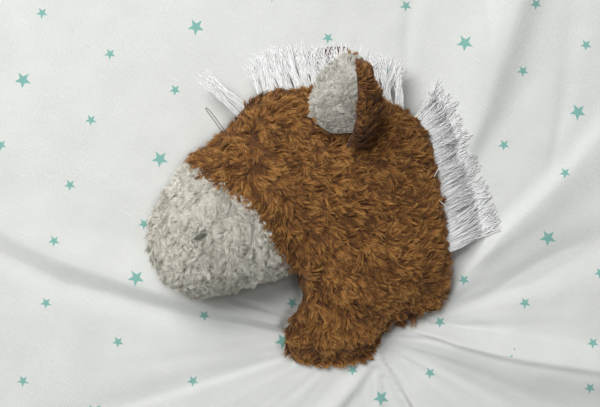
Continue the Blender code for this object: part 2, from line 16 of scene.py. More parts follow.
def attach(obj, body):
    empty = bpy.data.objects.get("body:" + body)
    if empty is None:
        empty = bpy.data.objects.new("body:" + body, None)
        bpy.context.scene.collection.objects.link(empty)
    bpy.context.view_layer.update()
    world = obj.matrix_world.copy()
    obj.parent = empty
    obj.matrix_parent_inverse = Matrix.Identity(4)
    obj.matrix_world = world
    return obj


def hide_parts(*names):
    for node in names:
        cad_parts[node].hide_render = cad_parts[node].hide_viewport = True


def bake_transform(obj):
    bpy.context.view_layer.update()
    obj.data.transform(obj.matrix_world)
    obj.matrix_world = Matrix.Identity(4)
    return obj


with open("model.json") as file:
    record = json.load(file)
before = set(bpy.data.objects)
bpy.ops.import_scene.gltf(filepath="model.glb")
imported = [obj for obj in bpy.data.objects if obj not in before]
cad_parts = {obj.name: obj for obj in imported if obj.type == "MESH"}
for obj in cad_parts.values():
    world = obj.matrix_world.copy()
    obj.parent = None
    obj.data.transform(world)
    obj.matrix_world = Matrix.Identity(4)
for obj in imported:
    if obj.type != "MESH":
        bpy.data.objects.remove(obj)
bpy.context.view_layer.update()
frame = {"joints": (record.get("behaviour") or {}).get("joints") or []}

# %% [markdown]
# ## Lengths and the camera
# The frame is in metres. Places on the cloth and the head were read off the picture in
# pixels, so one function turns a pixel into metres. The camera looks straight down, and
# a point near the lens looks a little further from the middle than one on the floor, so
# the function needs the height of what it places.

# %% Camera straight above the head
MM = 0.001
PICTURE_SIZE = (600, 407)
PICTURE_MIDDLE = (300.0, 203.5)
AIM = (-32.75 * MM, 66.25 * MM)
CAMERA_HEIGHT = 550 * MM
HEAD_PLANE = 22 * MM
PIXEL_AT_HEAD = 0.5 * MM
SENSOR_WIDTH = 36.0


def from_photo(x, y, height=2.5 * MM):
    """Where a pixel of the picture lies at a height above the floor."""
    pixel = PIXEL_AT_HEAD * (CAMERA_HEIGHT - height) / (CAMERA_HEIGHT - HEAD_PLANE)
    return (
        AIM[0] + (np.asarray(x) - PICTURE_MIDDLE[0]) * pixel,
        AIM[1] + (PICTURE_MIDDLE[1] - np.asarray(y)) * pixel,
    )


def to_photo(points):
    """The pixel in which each point shows."""
    pixel = PIXEL_AT_HEAD * (CAMERA_HEIGHT - points[:, 2]) / (CAMERA_HEIGHT - HEAD_PLANE)
    return np.stack(
        [
            PICTURE_MIDDLE[0] + (points[:, 0] - AIM[0]) / pixel,
            PICTURE_MIDDLE[1] - (points[:, 1] - AIM[1]) / pixel,
        ],
        axis=1,
    )


camera_data = bpy.data.cameras.new("camera")
camera_data.sensor_width = SENSOR_WIDTH
view_width = PICTURE_SIZE[0] * PIXEL_AT_HEAD
camera_data.lens = SENSOR_WIDTH * (CAMERA_HEIGHT - HEAD_PLANE) / view_width
camera = bpy.data.objects.new("camera", camera_data)
camera.location = (*AIM, CAMERA_HEIGHT)
bpy.context.scene.collection.objects.link(camera)
bpy.context.scene.camera = camera
print("lens:", round(camera_data.lens, 1))

# %% [markdown]
# ## Shader maths as Python
# A material is a graph of nodes. Written out link by link it is hard to read, so a small
# class wraps an output socket and turns `+ - *` into Math nodes. Vectors go through
# Vector Math, and colours through a Mix node. Every other node comes from one function.


# %% A socket that can stand in an expression
class Value:
    """An output of a material's nodes, for use in an expression."""

    def __init__(self, tree, socket):
        self.tree = tree
        self.socket = socket

    def node(self, kind, settings, inputs, output=0):
        return add_node(self.tree, kind, settings, inputs, output)

    def maths(self, operation, *values):
        is_vector = any(isinstance(v, Value) and v.socket.type == "VECTOR" for v in values)
        kind = "ShaderNodeVectorMath" if is_vector else "ShaderNodeMath"
        if is_vector:
            values = [(v, v, v) if isinstance(v, (int, float)) else v for v in values]
        return self.node(kind, {"operation": operation}, dict(enumerate(values)))

    def __add__(self, other):
        return self.maths("ADD", self, other)

    def __radd__(self, other):
        return self.maths("ADD", other, self)

    def __sub__(self, other):
        return self.maths("SUBTRACT", self, other)

    def __rsub__(self, other):
        return self.maths("SUBTRACT", other, self)

    def __mul__(self, other):
        return self.maths("MULTIPLY", self, other)

    def __rmul__(self, other):
        return self.maths("MULTIPLY", other, self)

    def clamped(self, low, high):
        """0 at low, 1 at high, and a smooth rise between them."""
        settings = {"interpolation_type": "SMOOTHSTEP"}
        inputs = {"Value": self, "From Min": low, "From Max": high}
        return self.node("ShaderNodeMapRange", settings, inputs)

    def mix(self, first, second):
        """The first colour where this value is 0, and the second where it is 1."""
        inputs = {"Factor": self, 6: first, 7: second}
        return self.node("ShaderNodeMix", {"data_type": "RGBA"}, inputs, 2)

    def parts(self):
        return [self.node("ShaderNodeSeparateXYZ", {}, {0: self}, i) for i in range(3)]


def add_node(tree, kind, settings, inputs, output=0):
    """Adds a node: its settings first, then the value or the link of each socket."""
    node = tree.nodes.new(kind)
    for name, value in settings.items():
        setattr(node, name, value)
    for key, value in inputs.items():
        socket = node.inputs[key]
        if isinstance(value, Value):
            tree.links.new(value.socket, socket)
        elif socket.type == "RGBA":
            socket.default_value = (*value[:3], 1.0)
        else:
            socket.default_value = value
    return Value(tree, node.outputs[output])


# %% Colours and materials
def srgb(red, green, blue):
    """A colour as a paint program shows it, 0 to 255, turned into the shader's numbers."""
    shares = [channel / 255 for channel in (red, green, blue)]
    return tuple(
        s / 12.92 if s <= 0.04045 else ((s + 0.055) / 1.055) ** 2.4 for s in shares
    )


def new_finish(name, **constants):
    """A material with one shader. The constants are set on the shader's own sockets."""
    material = bpy.data.materials.new(name)
    material.use_nodes = True
    shader = material.node_tree.nodes["Principled BSDF"]
    for socket, value in constants.items():
        shader.inputs[socket.replace("_", " ")].default_value = value
    return material, shader


def feed(material, shader, **values):
    """Links what changes over the surface to the shader."""
    for socket, value in values.items():
        material.node_tree.links.new(value.socket, shader.inputs[socket.replace("_", " ")])


def place_on_piece(material):
    """The place on the piece in metres, the same at every pose."""
    return add_node(material.node_tree, "ShaderNodeTexCoord", {}, {}, 3)


def grain(place, size, detail=2.0, roughness=0.5, stretch=(1.0, 1.0, 1.0)):
    """Noise whose spots are about the given size. A stretch of 5 draws them out 5 times."""
    scaled = place * tuple(1 / (size * s) for s in stretch)
    inputs = {"Vector": scaled, "Scale": 1.0, "Detail": detail, "Roughness": roughness}
    return place.node("ShaderNodeTexNoise", {}, inputs)


def bump(height, distance, strength=1.0):
    """A normal that shades a height of 0 to 1 as if it stood out by the distance."""
    inputs = {"Height": height, "Distance": distance, "Strength": strength}
    return height.node("ShaderNodeBump", {}, inputs)


# %% [markdown]
# ## Meshes from arrays
# Thousands of tufts are too many to make one object each. Their points are worked out
# together with numpy and become one mesh. Each point of a tuft also gets a place on a
# flat map: across it lies the tuft's shade, and up it the way from root to tip, so a
# material can colour every tuft by its own numbers.

# %% Mesh helpers
TUFT_MAP = "OFBake"
MAP_MARGIN = 0.02
MAP_SPAN = 0.96
MAP_TUFT_WIDTH = 0.004
TUFT_TAPER = np.array([0.75, 1.0, 0.85, 0.0])
STRAND_END = 0.55
RANDOM_SEED = 7
random = np.random.default_rng(RANDOM_SEED)
# Blender's noise starts from the clock unless it has a seed.
noise.seed_set(RANDOM_SEED)


def new_piece(name, points, faces, material, map_places=None):
    """A mesh object from arrays of points and of faces that all have as many corners."""
    mesh = bpy.data.meshes.new(name)
    mesh.from_pydata(points.tolist(), [], faces.tolist())
    mesh.shade_smooth()
    if map_places is not None:
        corners = np.zeros(len(mesh.loops), np.int32)
        mesh.loops.foreach_get("vertex_index", corners)
        layer = mesh.uv_layers.new(name=TUFT_MAP)
        layer.uv.foreach_set("vector", map_places[corners].astype(np.float32).ravel())
    mesh.materials.append(material)
    piece = bpy.data.objects.new(name, mesh)
    bpy.context.scene.collection.objects.link(piece)
    print(name, len(faces), "faces")
    return piece


def unit(vectors):
    return vectors / np.maximum(np.linalg.norm(vectors, axis=-1, keepdims=True), 1e-12)


def grid_faces(rows, columns, wrap=False, first=0):
    """Faces of a grid of points that are numbered row by row."""
    row, column = np.meshgrid(
        np.arange(rows - 1), np.arange(columns if wrap else columns - 1), indexing="ij"
    )
    following = (column + 1) % columns
    corners = [
        row * columns + column,
        row * columns + following,
        (row + 1) * columns + following,
        (row + 1) * columns + column,
    ]
    return np.stack(corners, axis=-1).reshape(-1, 4) + first


def slab_faces(rows, columns):
    """Faces that close two grids of points, upper and lower, into one body."""
    count = rows * columns
    upper = grid_faces(rows, columns)
    rim = np.concatenate(
        [
            np.arange(columns),
            np.arange(1, rows) * columns + columns - 1,
            count - 2 - np.arange(columns - 1),
            np.arange(rows - 2, 0, -1) * columns,
        ]
    )
    following = np.roll(rim, -1)
    side = np.stack([following, rim, rim + count, following + count], axis=1)
    return np.concatenate([upper, upper[:, ::-1] + count, side])


def ribbons(paths, across, widths, shades):
    """Points, faces and map places of flat tapering tufts, one row of paths for each."""
    count, steps = paths.shape[:2]
    half = 0.5 * widths[:, None, None] * TUFT_TAPER[None, :-1, None] * across[:, :-1]
    pairs = np.stack([paths[:, :-1] - half, paths[:, :-1] + half], axis=2)
    points = np.concatenate([pairs.reshape(count, -1, 3), paths[:, -1:]], axis=1)
    faces = []
    for step in range(steps - 2):
        low = 2 * step
        faces += [(low, low + 1, low + 3), (low, low + 3, low + 2)]
    last = 2 * (steps - 2)
    faces.append((last, last + 1, last + 2))
    each = np.arange(count)[:, None, None] * points.shape[1]
    all_faces = (np.array(faces)[None] + each).reshape(-1, 3)
    along = np.repeat(np.linspace(0.0, 1.0, steps), 2)[:-1]
    edge = np.tile([-1.0, 1.0], steps)[: len(along)] * MAP_TUFT_WIDTH
    edge[-1] = 0.0
    places = np.broadcast_arrays(
        MAP_MARGIN + MAP_SPAN * shades[:, None] + edge, MAP_MARGIN + MAP_SPAN * along
    )
    return points.reshape(-1, 3), all_faces, np.stack(places, axis=2).reshape(-1, 2)


def tubes(paths, radii, sides, plies=0.0, pitch=1.0, shades=None):
    """Points, faces and map places of round strands. Plies makes them two-ply twisted yarn."""
    count, steps = paths.shape[:2]
    run = unit(np.gradient(paths, axis=1))
    level = np.cross(run, np.array([0.0, 0.0, 1.0]))
    level = unit(np.where(np.linalg.norm(level, axis=-1, keepdims=True) < 1e-6, 1.0, level))
    up = np.cross(level, run)
    reach = np.linalg.norm(np.diff(paths, axis=1), axis=-1).cumsum(axis=1)
    reach = np.concatenate([np.zeros((count, 1)), reach], axis=1)
    turn = 2 * np.pi * np.arange(sides) / sides
    phase = 2 * np.pi * reach / pitch + random.uniform(0, 2 * np.pi, (count, 1))
    size = 1 + plies * np.cos(2 * (turn[None, None] - phase[..., None]))
    taper = np.ones(steps)
    taper[0] = taper[-1] = STRAND_END
    size = size[..., None] * radii[:, None, None, None] * taper[None, :, None, None]
    ring = np.cos(turn)[:, None] * level[:, :, None] + np.sin(turn)[:, None] * up[:, :, None]
    points = paths[:, :, None] + size * ring
    wall = grid_faces(steps, sides, wrap=True)
    wall = np.concatenate([wall[:, [0, 1, 2]], wall[:, [0, 2, 3]]])
    caps = [(0, i + 1, i) for i in range(1, sides - 1)]
    last = (steps - 1) * sides
    caps += [(last, last + i, last + i + 1) for i in range(1, sides - 1)]
    each = np.arange(count)[:, None, None] * (steps * sides)
    faces = (np.concatenate([wall, np.array(caps)])[None] + each).reshape(-1, 3)
    shades = random.uniform(0, 1, count) if shades is None else shades
    across = MAP_MARGIN + 0.9 * shades[:, None, None] + 0.03 * np.arange(sides) / sides
    along = MAP_MARGIN + MAP_SPAN * np.linspace(0.0, 1.0, steps)
    places = np.broadcast_arrays(across, along[None, :, None])
    return points.reshape(-1, 3), faces, np.stack(places, axis=-1).reshape(-1, 2)


def noise_at(points, size, seed):
    """Smooth noise from about -1 to 1 at each point, as an array of three numbers."""
    shift = Vector((seed, 0.37 * seed, 0.71 * seed))
    return np.array([noise.noise_vector(Vector(p) / size + shift) for p in points])


def slopes(surface, first, second, steps):
    """How a surface of two coordinates runs along each of them."""
    return (
        surface(first + steps[0], second) - surface(first - steps[0], second),
        surface(first, second + steps[1]) - surface(first, second - steps[1]),
    )


def dress(piece, slot, body=None, node=None):
    """Hides the imported part that a piece stands for and hangs the piece on the body it moves
    with. The slot is not used.
    """
    if node:
        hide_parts(node)
    if body:
        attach(piece, body)
    return piece


# %% [markdown]
# ## The form of the head
# The head's sections were laid down when the parts were made: for each one the point on
# the crest, the point on the throat and the thickness. A smooth curve through them gives
# the head at any place between, so the plush can be covered evenly with tufts. Angle 0
# is the crest, a quarter turn the left cheek on top and half a turn the throat.

# %% Sections of the head
HEAD_LENGTH = 150 * MM
HEAD_HEIGHT = 140 * MM
HEAD_THICKNESS = 50 * MM
PLUSH_THICKNESS = 3 * MM
CLOTH_THICKNESS = 1.2 * MM
FIT_GAP = 0.3 * MM
TAPE_THICKNESS = 0.6 * MM
TAPE_WIDTH = 3.5 * MM
TAPE_STAND_OUT = 0.8 * MM
SEAM_THREAD_DIAMETER = 1.0 * MM
STUFFING_GAP = 0.9 * MM
CLOTH_TOP = 2 * CLOTH_THICKNESS + FIT_GAP
TAPE_GAP = 0.5 * TAPE_THICKNESS + FIT_GAP
REST_LEVEL = CLOTH_TOP + FIT_GAP + TAPE_GAP
SEAM_CLEARANCE = 0.5 * SEAM_THREAD_DIAMETER + FIT_GAP
FULLEST_SECTION = 5
MUZZLE_SEAM_SECTION = 6
MUZZLE_SEAM_BULGE = 2.5
HEM_SECTION = 17
NECK_END_SECTION = 18
STUFFING_SECTIONS = (0.8, 16.6)
SECTION_STEP = 0.05
LEAST_HALF = 0.4 * MM
HEAD_SECTION_SHARES = np.array(
    (
        (0.059, 0.323, 0.067, 0.313, 0.04),
        (0.037, 0.364, 0.113, 0.289, 0.38),
        (0.014, 0.425, 0.160, 0.268, 0.66),
        (0.013, 0.496, 0.233, 0.280, 0.87),
        (0.032, 0.564, 0.310, 0.300, 0.97),
        (0.102, 0.675, 0.435, 0.346, 1.00),
        (0.140, 0.734, 0.457, 0.378, 0.96),
        (0.204, 0.785, 0.467, 0.371, 0.90),
        (0.290, 0.865, 0.480, 0.361, 0.86),
        (0.367, 0.955, 0.493, 0.346, 0.82),
        (0.493, 0.985, 0.503, 0.332, 0.78),
        (0.643, 0.975, 0.510, 0.314, 0.76),
        (0.793, 0.932, 0.513, 0.293, 0.73),
        (0.893, 0.854, 0.517, 0.271, 0.70),
        (0.937, 0.729, 0.517, 0.246, 0.66),
        (0.980, 0.461, 0.497, 0.186, 0.58),
        (0.990, 0.354, 0.470, 0.146, 0.48),
        (0.985, 0.260, 0.460, 0.080, 0.31),
        (0.965, 0.205, 0.470, 0.035, 0.20),
    )
)


def ease(value):
    value = np.clip(value, 0.0, 1.0)
    return value * value * (3.0 - 2.0 * value)


def smooth_rows(rows, position):
    """Reads a table between its rows, on a smooth curve through all of them."""
    rows = np.asarray(rows, float)
    position = np.asarray(position, float)
    first = np.clip(position.astype(int), 0, len(rows) - 2)
    step = (position - first)[..., None]
    a, b, c, d = (rows[np.clip(first + k, 0, len(rows) - 1)] for k in (-1, 0, 1, 2))
    bend = (2 * a - 5 * b + 4 * c - d) * step**2
    twist = (3 * b - a - 3 * c + d) * step**3
    return 0.5 * (2 * b + (c - a) * step + bend + twist)


def section_ends(section):
    row = smooth_rows(HEAD_SECTION_SHARES, section)
    scale = np.array([HEAD_LENGTH, HEAD_HEIGHT])
    return row[..., 0:2] * scale, row[..., 2:4] * scale, 0.5 * row[..., 4] * HEAD_THICKNESS


neck_crest, neck_throat, _ = section_ends(np.array(float(NECK_END_SECTION)))
neck_width = float(np.linalg.norm(neck_crest - neck_throat))
neck_line = (neck_crest - neck_throat) / neck_width
head_place = np.array([-neck_line[1], neck_line[0]]) * SEAM_CLEARANCE
head_place = head_place - 0.5 * (neck_crest + neck_throat)


def head_points(section, angle, inset=0.0, hem=False):
    """Points of the head's surface, or of a surface inside it by the inset."""
    section, angle = np.broadcast_arrays(np.asarray(section, float), angle)
    crest, throat, half_thickness = section_ends(section)
    centre = 0.5 * (crest + throat) + head_place
    reach = 0.5 * (crest - throat)
    half_height = np.linalg.norm(reach, axis=-1)
    to_crest = reach / half_height[..., None]
    rests = section > FULLEST_SECTION
    level = REST_LEVEL + np.where(rests, half_thickness, 0.5 * HEAD_THICKNESS)
    across = np.maximum(half_height - inset, LEAST_HALF)
    out = np.maximum(half_thickness - inset, LEAST_HALF)
    if hem:
        out = np.maximum(out * ease(HEM_SECTION - section), LEAST_HALF)
    flat = centre + to_crest * (across * np.cos(angle))[..., None]
    return np.concatenate([flat, (level + out * np.sin(angle))[..., None]], axis=-1)


def head_frames(section, angle, surface=head_points):
    """Points of the head, their outward normals and the way towards the neck."""
    point = head_points(section, angle)
    middle = 0.5 * (point + head_points(section, angle + np.pi))
    steps = (SECTION_STEP, SECTION_STEP)
    plain = unit(np.cross(*slopes(head_points, section, angle, steps)))
    flip = np.sign(((point - middle) * plain).sum(-1, keepdims=True))
    along, around = slopes(surface, section, angle, steps)
    normal = unit(np.cross(along, around)) * np.where(flip == 0, 1, flip)
    return surface(section, angle), normal, unit(along)


def muzzle_seam(angle):
    """The section at which the muzzle's seam crosses an angle: it bows back by the throat."""
    return MUZZLE_SEAM_SECTION + MUZZLE_SEAM_BULGE * np.sin(angle) ** 2 * (
        np.sin(0.5 * angle) ** 2
    )


def crest_points(section, stand_out=0.0):
    """Points in the plane of the crest seam, outside the edge by stand_out."""
    here = head_points(section, 0.0)
    run = head_points(section + SECTION_STEP, 0.0) - head_points(section - SECTION_STEP, 0.0)
    outward = unit(np.stack([-run[..., 1], run[..., 0], 0 * run[..., 0]], axis=-1))
    crest, throat, _ = section_ends(section)
    side = ((crest - throat) * outward[..., :2]).sum(-1, keepdims=True)
    return here + outward * np.where(side < 0, -1, 1) * stand_out


# How far the plush rolls out over the neck seam: place along the seam from -1 at the
# throat to 1 at the crest, and distance in millimetres.
HEM_ROLL = np.array(
    (
        (-1, 2), (-0.8, 7.5), (-0.56, 10.5), (-0.3, 13), (-0.06, 13.5), (0.11, 7.5),
        (0.3, 1), (0.65, -2.5), (1, -1),
    )
)
HEM_ROLL_START = 15.0
HEM_LEVEL = 6 * MM
DEEPEST_CREASE = 0.6
# Creases in the plush: points in pixels, then depth and width in millimetres. The tufts in
# them are painted darker too: painted shade. The last one, at the root of the left ear,
# stands for the shadow under the ear.
CREASES = (
    (((410, 298), (400, 307), (390, 320), (379, 333), (366, 343)), 2.2, 2.0),
    (((322, 296), (332, 303), (345, 308), (358, 316)), 1.4, 1.8),
    (((256, 166), (266, 160), (276, 157)), 1.0, 1.8),
    (((252, 255), (249, 265), (243, 277)), 1.2, 1.4),
    (((191, 209), (199, 205), (206, 206)), 0.9, 1.6),
    (((322, 137), (342, 141), (368, 139)), 2.6, 3.0),
)


def rolled_hem(points, section, angle):
    """Lets the top of the neck's end roll out over the seam and down to the cloth."""
    section, angle = np.broadcast_arrays(section, angle)
    away = -np.array([-neck_line[1], neck_line[0]])
    reach = np.interp(np.cos(angle), HEM_ROLL[:, 0], HEM_ROLL[:, 1]) * MM
    share = ease((section - HEM_ROLL_START) / (NECK_END_SECTION - HEM_ROLL_START))
    moved = points.copy()
    moved[..., :2] += (reach * share)[..., None] * away
    fall = ease(section - HEM_SECTION + 0.2) * np.clip(reach / (6 * MM), 0, 1)
    moved[..., 2] += (np.minimum(HEM_LEVEL, points[..., 2]) - points[..., 2]) * 0.7 * fall
    return moved


def crease_depth(points):
    """How deep the creases press the plush in at each point."""
    pixels = to_photo(points)
    depth = np.zeros(len(points))
    for line, deepest, width in CREASES:
        line = np.array(line, float)
        away = np.full(len(points), np.inf)
        for start, stop in zip(line, line[1:]):
            run = stop - start
            share = np.clip((pixels - start) @ run / (run @ run), 0, 1)
            gap = np.linalg.norm(pixels - start - share[:, None] * run, axis=1)
            away = np.minimum(away, gap * PIXEL_AT_HEAD)
        depth = np.maximum(depth, deepest * MM * np.exp(-((away / (width * MM)) ** 2)))
    return depth


outline_steps = np.linspace(0, NECK_END_SECTION, 3 * NECK_END_SECTION + 1)
head_outline = np.concatenate(
    [
        head_points(outline_steps, 0.0)[:, :2],
        head_points(outline_steps[::-1], np.pi)[:, :2],
    ]
)


def distance_outside_head(flat):
    """How far points of the blanket lie outside the head's outline, and 0 under it."""
    nearest = np.full(len(flat), np.inf)
    inside = np.zeros(len(flat), bool)
    for start, stop in zip(head_outline, np.roll(head_outline, -1, axis=0)):
        run = stop - start
        gap = flat - start
        share = np.clip(gap @ run / max(run @ run, 1e-12), 0, 1)
        nearest = np.minimum(nearest, np.linalg.norm(gap - share[:, None] * run, axis=1))
        crosses = (start[1] > flat[:, 1]) != (stop[1] > flat[:, 1])
        rise = run[1] if run[1] else 1.0
        inside ^= crosses & (flat[:, 0] < start[0] + gap[:, 1] * run[0] / rise)
    return np.where(inside, 0.0, nearest)


print("head outline:", len(head_outline), "points; neck width:", round(neck_width, 4))

# %% [markdown]
# ## Folds of the blanket
# The neck seam gathers the cloth, so soft folds run from it to the edge. A simulation
# would invent its own folds. Here each fold is a line read off the picture, with a height
# at each of its points and a width on either side: a wide gentle side catches the light
# and a narrow one drops away. Their sum, with fine wrinkles, is the height of the cloth.

# %% Fold lines, from the neck outwards
# Each line: points (pixel x, pixel y, height in millimetres, below 0 for a valley), then
# the width in millimetres on the left and on the right of the way the line runs.
FOLDS = (
    (((455, 176, 1.0), (470, 140, 4.4), (482, 108, 7.0), (498, 55, 9.4), (521, -15, 9.8),
      (562, -110, 6)), 18, 10.5),
    (((456, 284, 1.5), (483, 253, 4.4), (503, 233, 5.2), (537, 203, 4.8), (575, 165, 4.4),
      (640, 85, 3)), 5, 13),
    (((440, 309, -1.5), (480, 300, -3.2), (503, 288, -3.8), (530, 275, -4.2),
      (563, 257, -4.2), (600, 241, -3.6), (690, 192, -2)), 8, 10),
    (((432, 321, -2.0), (457, 326, -2.8), (500, 331, -2.6), (530, 335, -2.0),
      (575, 341, -1.4), (640, 350, -1)), 8, 2.2),
    (((404, 326, 1.2), (453, 341, 2.6), (490, 350, 2.8), (520, 356, 2.8), (560, 362, 2.8),
      (600, 368, 2.6), (700, 384, 2)), 6, 2.4),
    (((404, 327, 1.4), (453, 342, 4.4), (490, 351, 5.8), (520, 357, 7.0), (560, 363, 7.6),
      (600, 370, 7.6), (700, 388, 5)), 9, 13),
    (((402, 336, 0.6), (437, 348, 1.8), (470, 359, 2.4), (503, 369, 2.6), (543, 378, 2.2),
      (590, 386, 1.6), (690, 400, 1)), 10, 10),
    (((375, 348, 2.6), (390, 374, 4.2), (407, 402, 4.8), (425, 440, 4.4), (445, 500, 3.6),
      (460, 590, 3)), 1.7, 5),
    (((376, 352, 1.6), (377, 376, 2.4), (379, 410, 2.6), (384, 470, 2)), 3.2, 1.8),
    (((372, 362, 1.4), (352, 388, 2.8), (335, 407, 3), (300, 460, 3),
      (265, 560, 2.6)), 4.5, 9),
    (((290, 355, -0.6), (240, 370, -1.6), (150, 396, -2.0), (60, 424, -2.0),
      (-60, 460, -1.6)), 3, 9),
    (((294, 337, -3.2), (262, 331, -3.8), (240, 326, -3.8), (200, 319, -3.8),
      (150, 307, -3.6), (60, 283, -3.4), (0, 254, -3.2), (-120, 205, -2)), 7, 4.5),
    (((292, 326, 2.4), (262, 318, 3.6), (240, 312, 4.0), (200, 302, 4.4), (150, 287, 4.6),
      (60, 258, 4.6), (0, 228, 4.2), (-120, 180, 3)), 5, 13),
    (((306, 320, -1.6), (262, 307, -2.0), (235, 300, -1.2)), 1.6, 2.6),
    (((403, 84, -0.4), (408, 30, -1.6), (418, -40, -1.6)), 6, 7),
    (((548, 172, -0.4), (560, 120, -1.3), (566, 70, -1.2), (575, 0, -1)), 6, 6),
    (((488, 40, -0.8), (484, 0, -1.2), (484, -60, -1)), 6, 6),
)
CLOTH_EASE = 3.0 * MM
FOLD_CLEARANCE = 1 * MM
FOLD_RISE = 5.5 * MM
FOLD_OPENING = 70 * MM
FOLD_NECK_WIDTH = 0.42
BLANKET_SIDE = 450 * MM
CORNER_POWER = 12
EDGE_FOLD_SHARE = 0.55
# Near its edge the blanket settles onto the floor.
SETTLE_START = 0.84
SETTLE_SPAN = 0.14


def edge_distance(angle):
    """From the middle of the blanket to its edge: a square with round corners."""
    spread = np.abs(np.cos(angle)) ** CORNER_POWER + np.abs(np.sin(angle)) ** CORNER_POWER
    return 0.5 * BLANKET_SIDE / spread ** (1 / CORNER_POWER)


def fold_height(flat, line, left_width, right_width):
    """Height of one fold at points of the blanket."""
    rows = np.array(line, float)
    spots = np.stack([*from_photo(rows[:, 0], rows[:, 1]), rows[:, 2] * MM], axis=1)
    best = np.full(len(flat), np.inf)
    height = np.zeros(len(flat))
    gone = 0.0
    for start, stop in zip(spots, spots[1:]):
        run = (stop - start)[:2]
        length = np.linalg.norm(run)
        gap = flat - start[:2]
        inside = np.clip(gap @ run / length**2, 0, 1)
        off = gap - inside[:, None] * run
        far = np.linalg.norm(off, axis=1)
        left = run[0] * off[:, 1] - run[1] * off[:, 0] > 0
        opened = ease((gone + inside * length) / FOLD_OPENING)
        width = np.where(left, left_width, right_width) * MM
        width = width * (FOLD_NECK_WIDTH + (1 - FOLD_NECK_WIDTH) * opened)
        top = start[2] + (stop[2] - start[2]) * inside
        here = top * np.exp(-((far / width) ** 2))
        height = np.where(far < best, here, height)
        best = np.minimum(best, far)
        gone += length
    return height


# Small gathers fan out from the neck seam between the folds.
GATHER_RADIUS = 60 * MM
GATHER_WIDTH = 4.5 * MM
GATHER_HEIGHT = 1.4 * MM
GATHER_REACH = 75 * MM
GATHER_DRIFT = 0.08
SOFT_WAVE, SOFT_WAVE_HEIGHT = 38 * MM, 0.9 * MM
FINE_WAVE, FINE_WAVE_HEIGHT = 11 * MM, 0.2 * MM


def cloth_lift(flat):
    """How far folds and wrinkles raise the cloth above its flat level."""
    flat = np.asarray(flat, float)
    folds = sum(fold_height(flat, *fold) for fold in FOLDS)
    free = ease((distance_outside_head(flat) - FOLD_CLEARANCE) / FOLD_RISE)
    reach = np.linalg.norm(flat, axis=1) / edge_distance(np.arctan2(flat[:, 1], flat[:, 0]))
    calm = 1 - (1 - EDGE_FOLD_SHARE) * ease(reach)
    spots = np.concatenate([flat, np.zeros((len(flat), 1))], axis=1)
    soft = noise_at(spots, SOFT_WAVE, 3.0)[:, 0] * SOFT_WAVE_HEIGHT
    fine = noise_at(spots, FINE_WAVE, 9.0)[:, 1] * FINE_WAVE_HEIGHT
    away = np.linalg.norm(flat, axis=1, keepdims=True) + 1e-6
    spokes = np.concatenate([flat / away * GATHER_RADIUS, GATHER_DRIFT * away], axis=1)
    gathers = noise_at(spokes, GATHER_WIDTH, 5.0)[:, 0] * GATHER_HEIGHT
    gathers = gathers * np.exp(-away[:, 0] / GATHER_REACH)
    loose = CLOTH_EASE * (1 - ease((reach - SETTLE_START) / SETTLE_SPAN))
    return np.maximum(folds * calm + soft + fine + gathers + loose, 0) * free


# %% [markdown]
# ## The blanket
# It is two squares of cloth sewn together round the edge, turned and stitched again. The
# mesh is a grid, finer where the folds are sharp, pushed up by the fold heights. Front
# and back are separate pieces, and both are closed bodies with the cloth's thickness.

# %% Grid of the blanket
FINE_STEP = 0.85 * MM
CALM_STEP = 2.0 * MM
COARSE_STEP = 4.2 * MM
HEM_WIDTH = 6 * MM
HEM_ROUNDING, HEM_DROP = 2.5 * MM, 0.55 * MM
GROOVE_WIDTH, GROOVE_DEPTH = 1.1 * MM, 0.3 * MM
# The picture shows the cloth between the first and the last of these places, and the folds
# are sharpest where the step is fine.
STOPS_ACROSS = (-190 * MM, 20 * MM, 128 * MM)
STOPS_UP = (-45 * MM, 55 * MM, 178 * MM)


def spaced(stops, steps):
    """Places along a line, with a spacing of its own between each pair of stops."""
    places = [stops[0]]
    for start, stop, step in zip(stops, stops[1:], steps):
        count = max(1, round((stop - start) / step))
        places += list(start + (stop - start) * np.arange(1, count + 1) / count)
    return np.array(places)


def blanket_grid(fine=True):
    half = 0.5 * BLANKET_SIDE
    if fine:
        steps = (COARSE_STEP, CALM_STEP, FINE_STEP, COARSE_STEP)
        across = spaced((-half, *STOPS_ACROSS, half), steps)
        steps = (COARSE_STEP, FINE_STEP, CALM_STEP, COARSE_STEP)
        up = spaced((-half, *STOPS_UP, half), steps)
    else:
        across = up = spaced((-half, half), (COARSE_STEP,))
    x, y = np.meshgrid(across, up)
    flat = np.stack([x.ravel(), y.ravel()], axis=1)
    square = np.abs(flat).max(axis=1)
    angle = np.arctan2(flat[:, 1], flat[:, 0])
    to_edge = half / np.maximum(np.abs(np.cos(angle)), np.abs(np.sin(angle)))
    pull = 1 - (1 - edge_distance(angle) / to_edge) * (square / half) ** 6
    return flat * pull[:, None], len(up), len(across)


def hem_fall(flat):
    """The front and back meet at the turned edge, and the stitch line pulls a groove."""
    angle = np.arctan2(flat[:, 1], flat[:, 0])
    inside = edge_distance(angle) - np.linalg.norm(flat, axis=1)
    inside = inside * np.maximum(np.abs(np.cos(angle)), np.abs(np.sin(angle)))
    edge = 1 - ease(inside / HEM_ROUNDING)
    groove = np.exp(-(((inside - HEM_WIDTH) / GROOVE_WIDTH) ** 2))
    return HEM_DROP * edge + GROOVE_DEPTH * groove


def blanket_layer(name, level, fine, material):
    flat, rows, columns = blanket_grid(fine)
    lift = cloth_lift(flat)
    fall = hem_fall(flat) * (1 if fine else 0)
    top = np.column_stack([flat, level + CLOTH_THICKNESS + lift - fall])
    bottom = np.column_stack([flat, level + lift])
    places = 0.5 + flat / (1.02 * BLANKET_SIDE)
    faces = slab_faces(rows, columns)[:, ::-1]
    points, places = np.concatenate([top, bottom]), np.concatenate([places, places])
    return new_piece(name, points, faces, material, places)


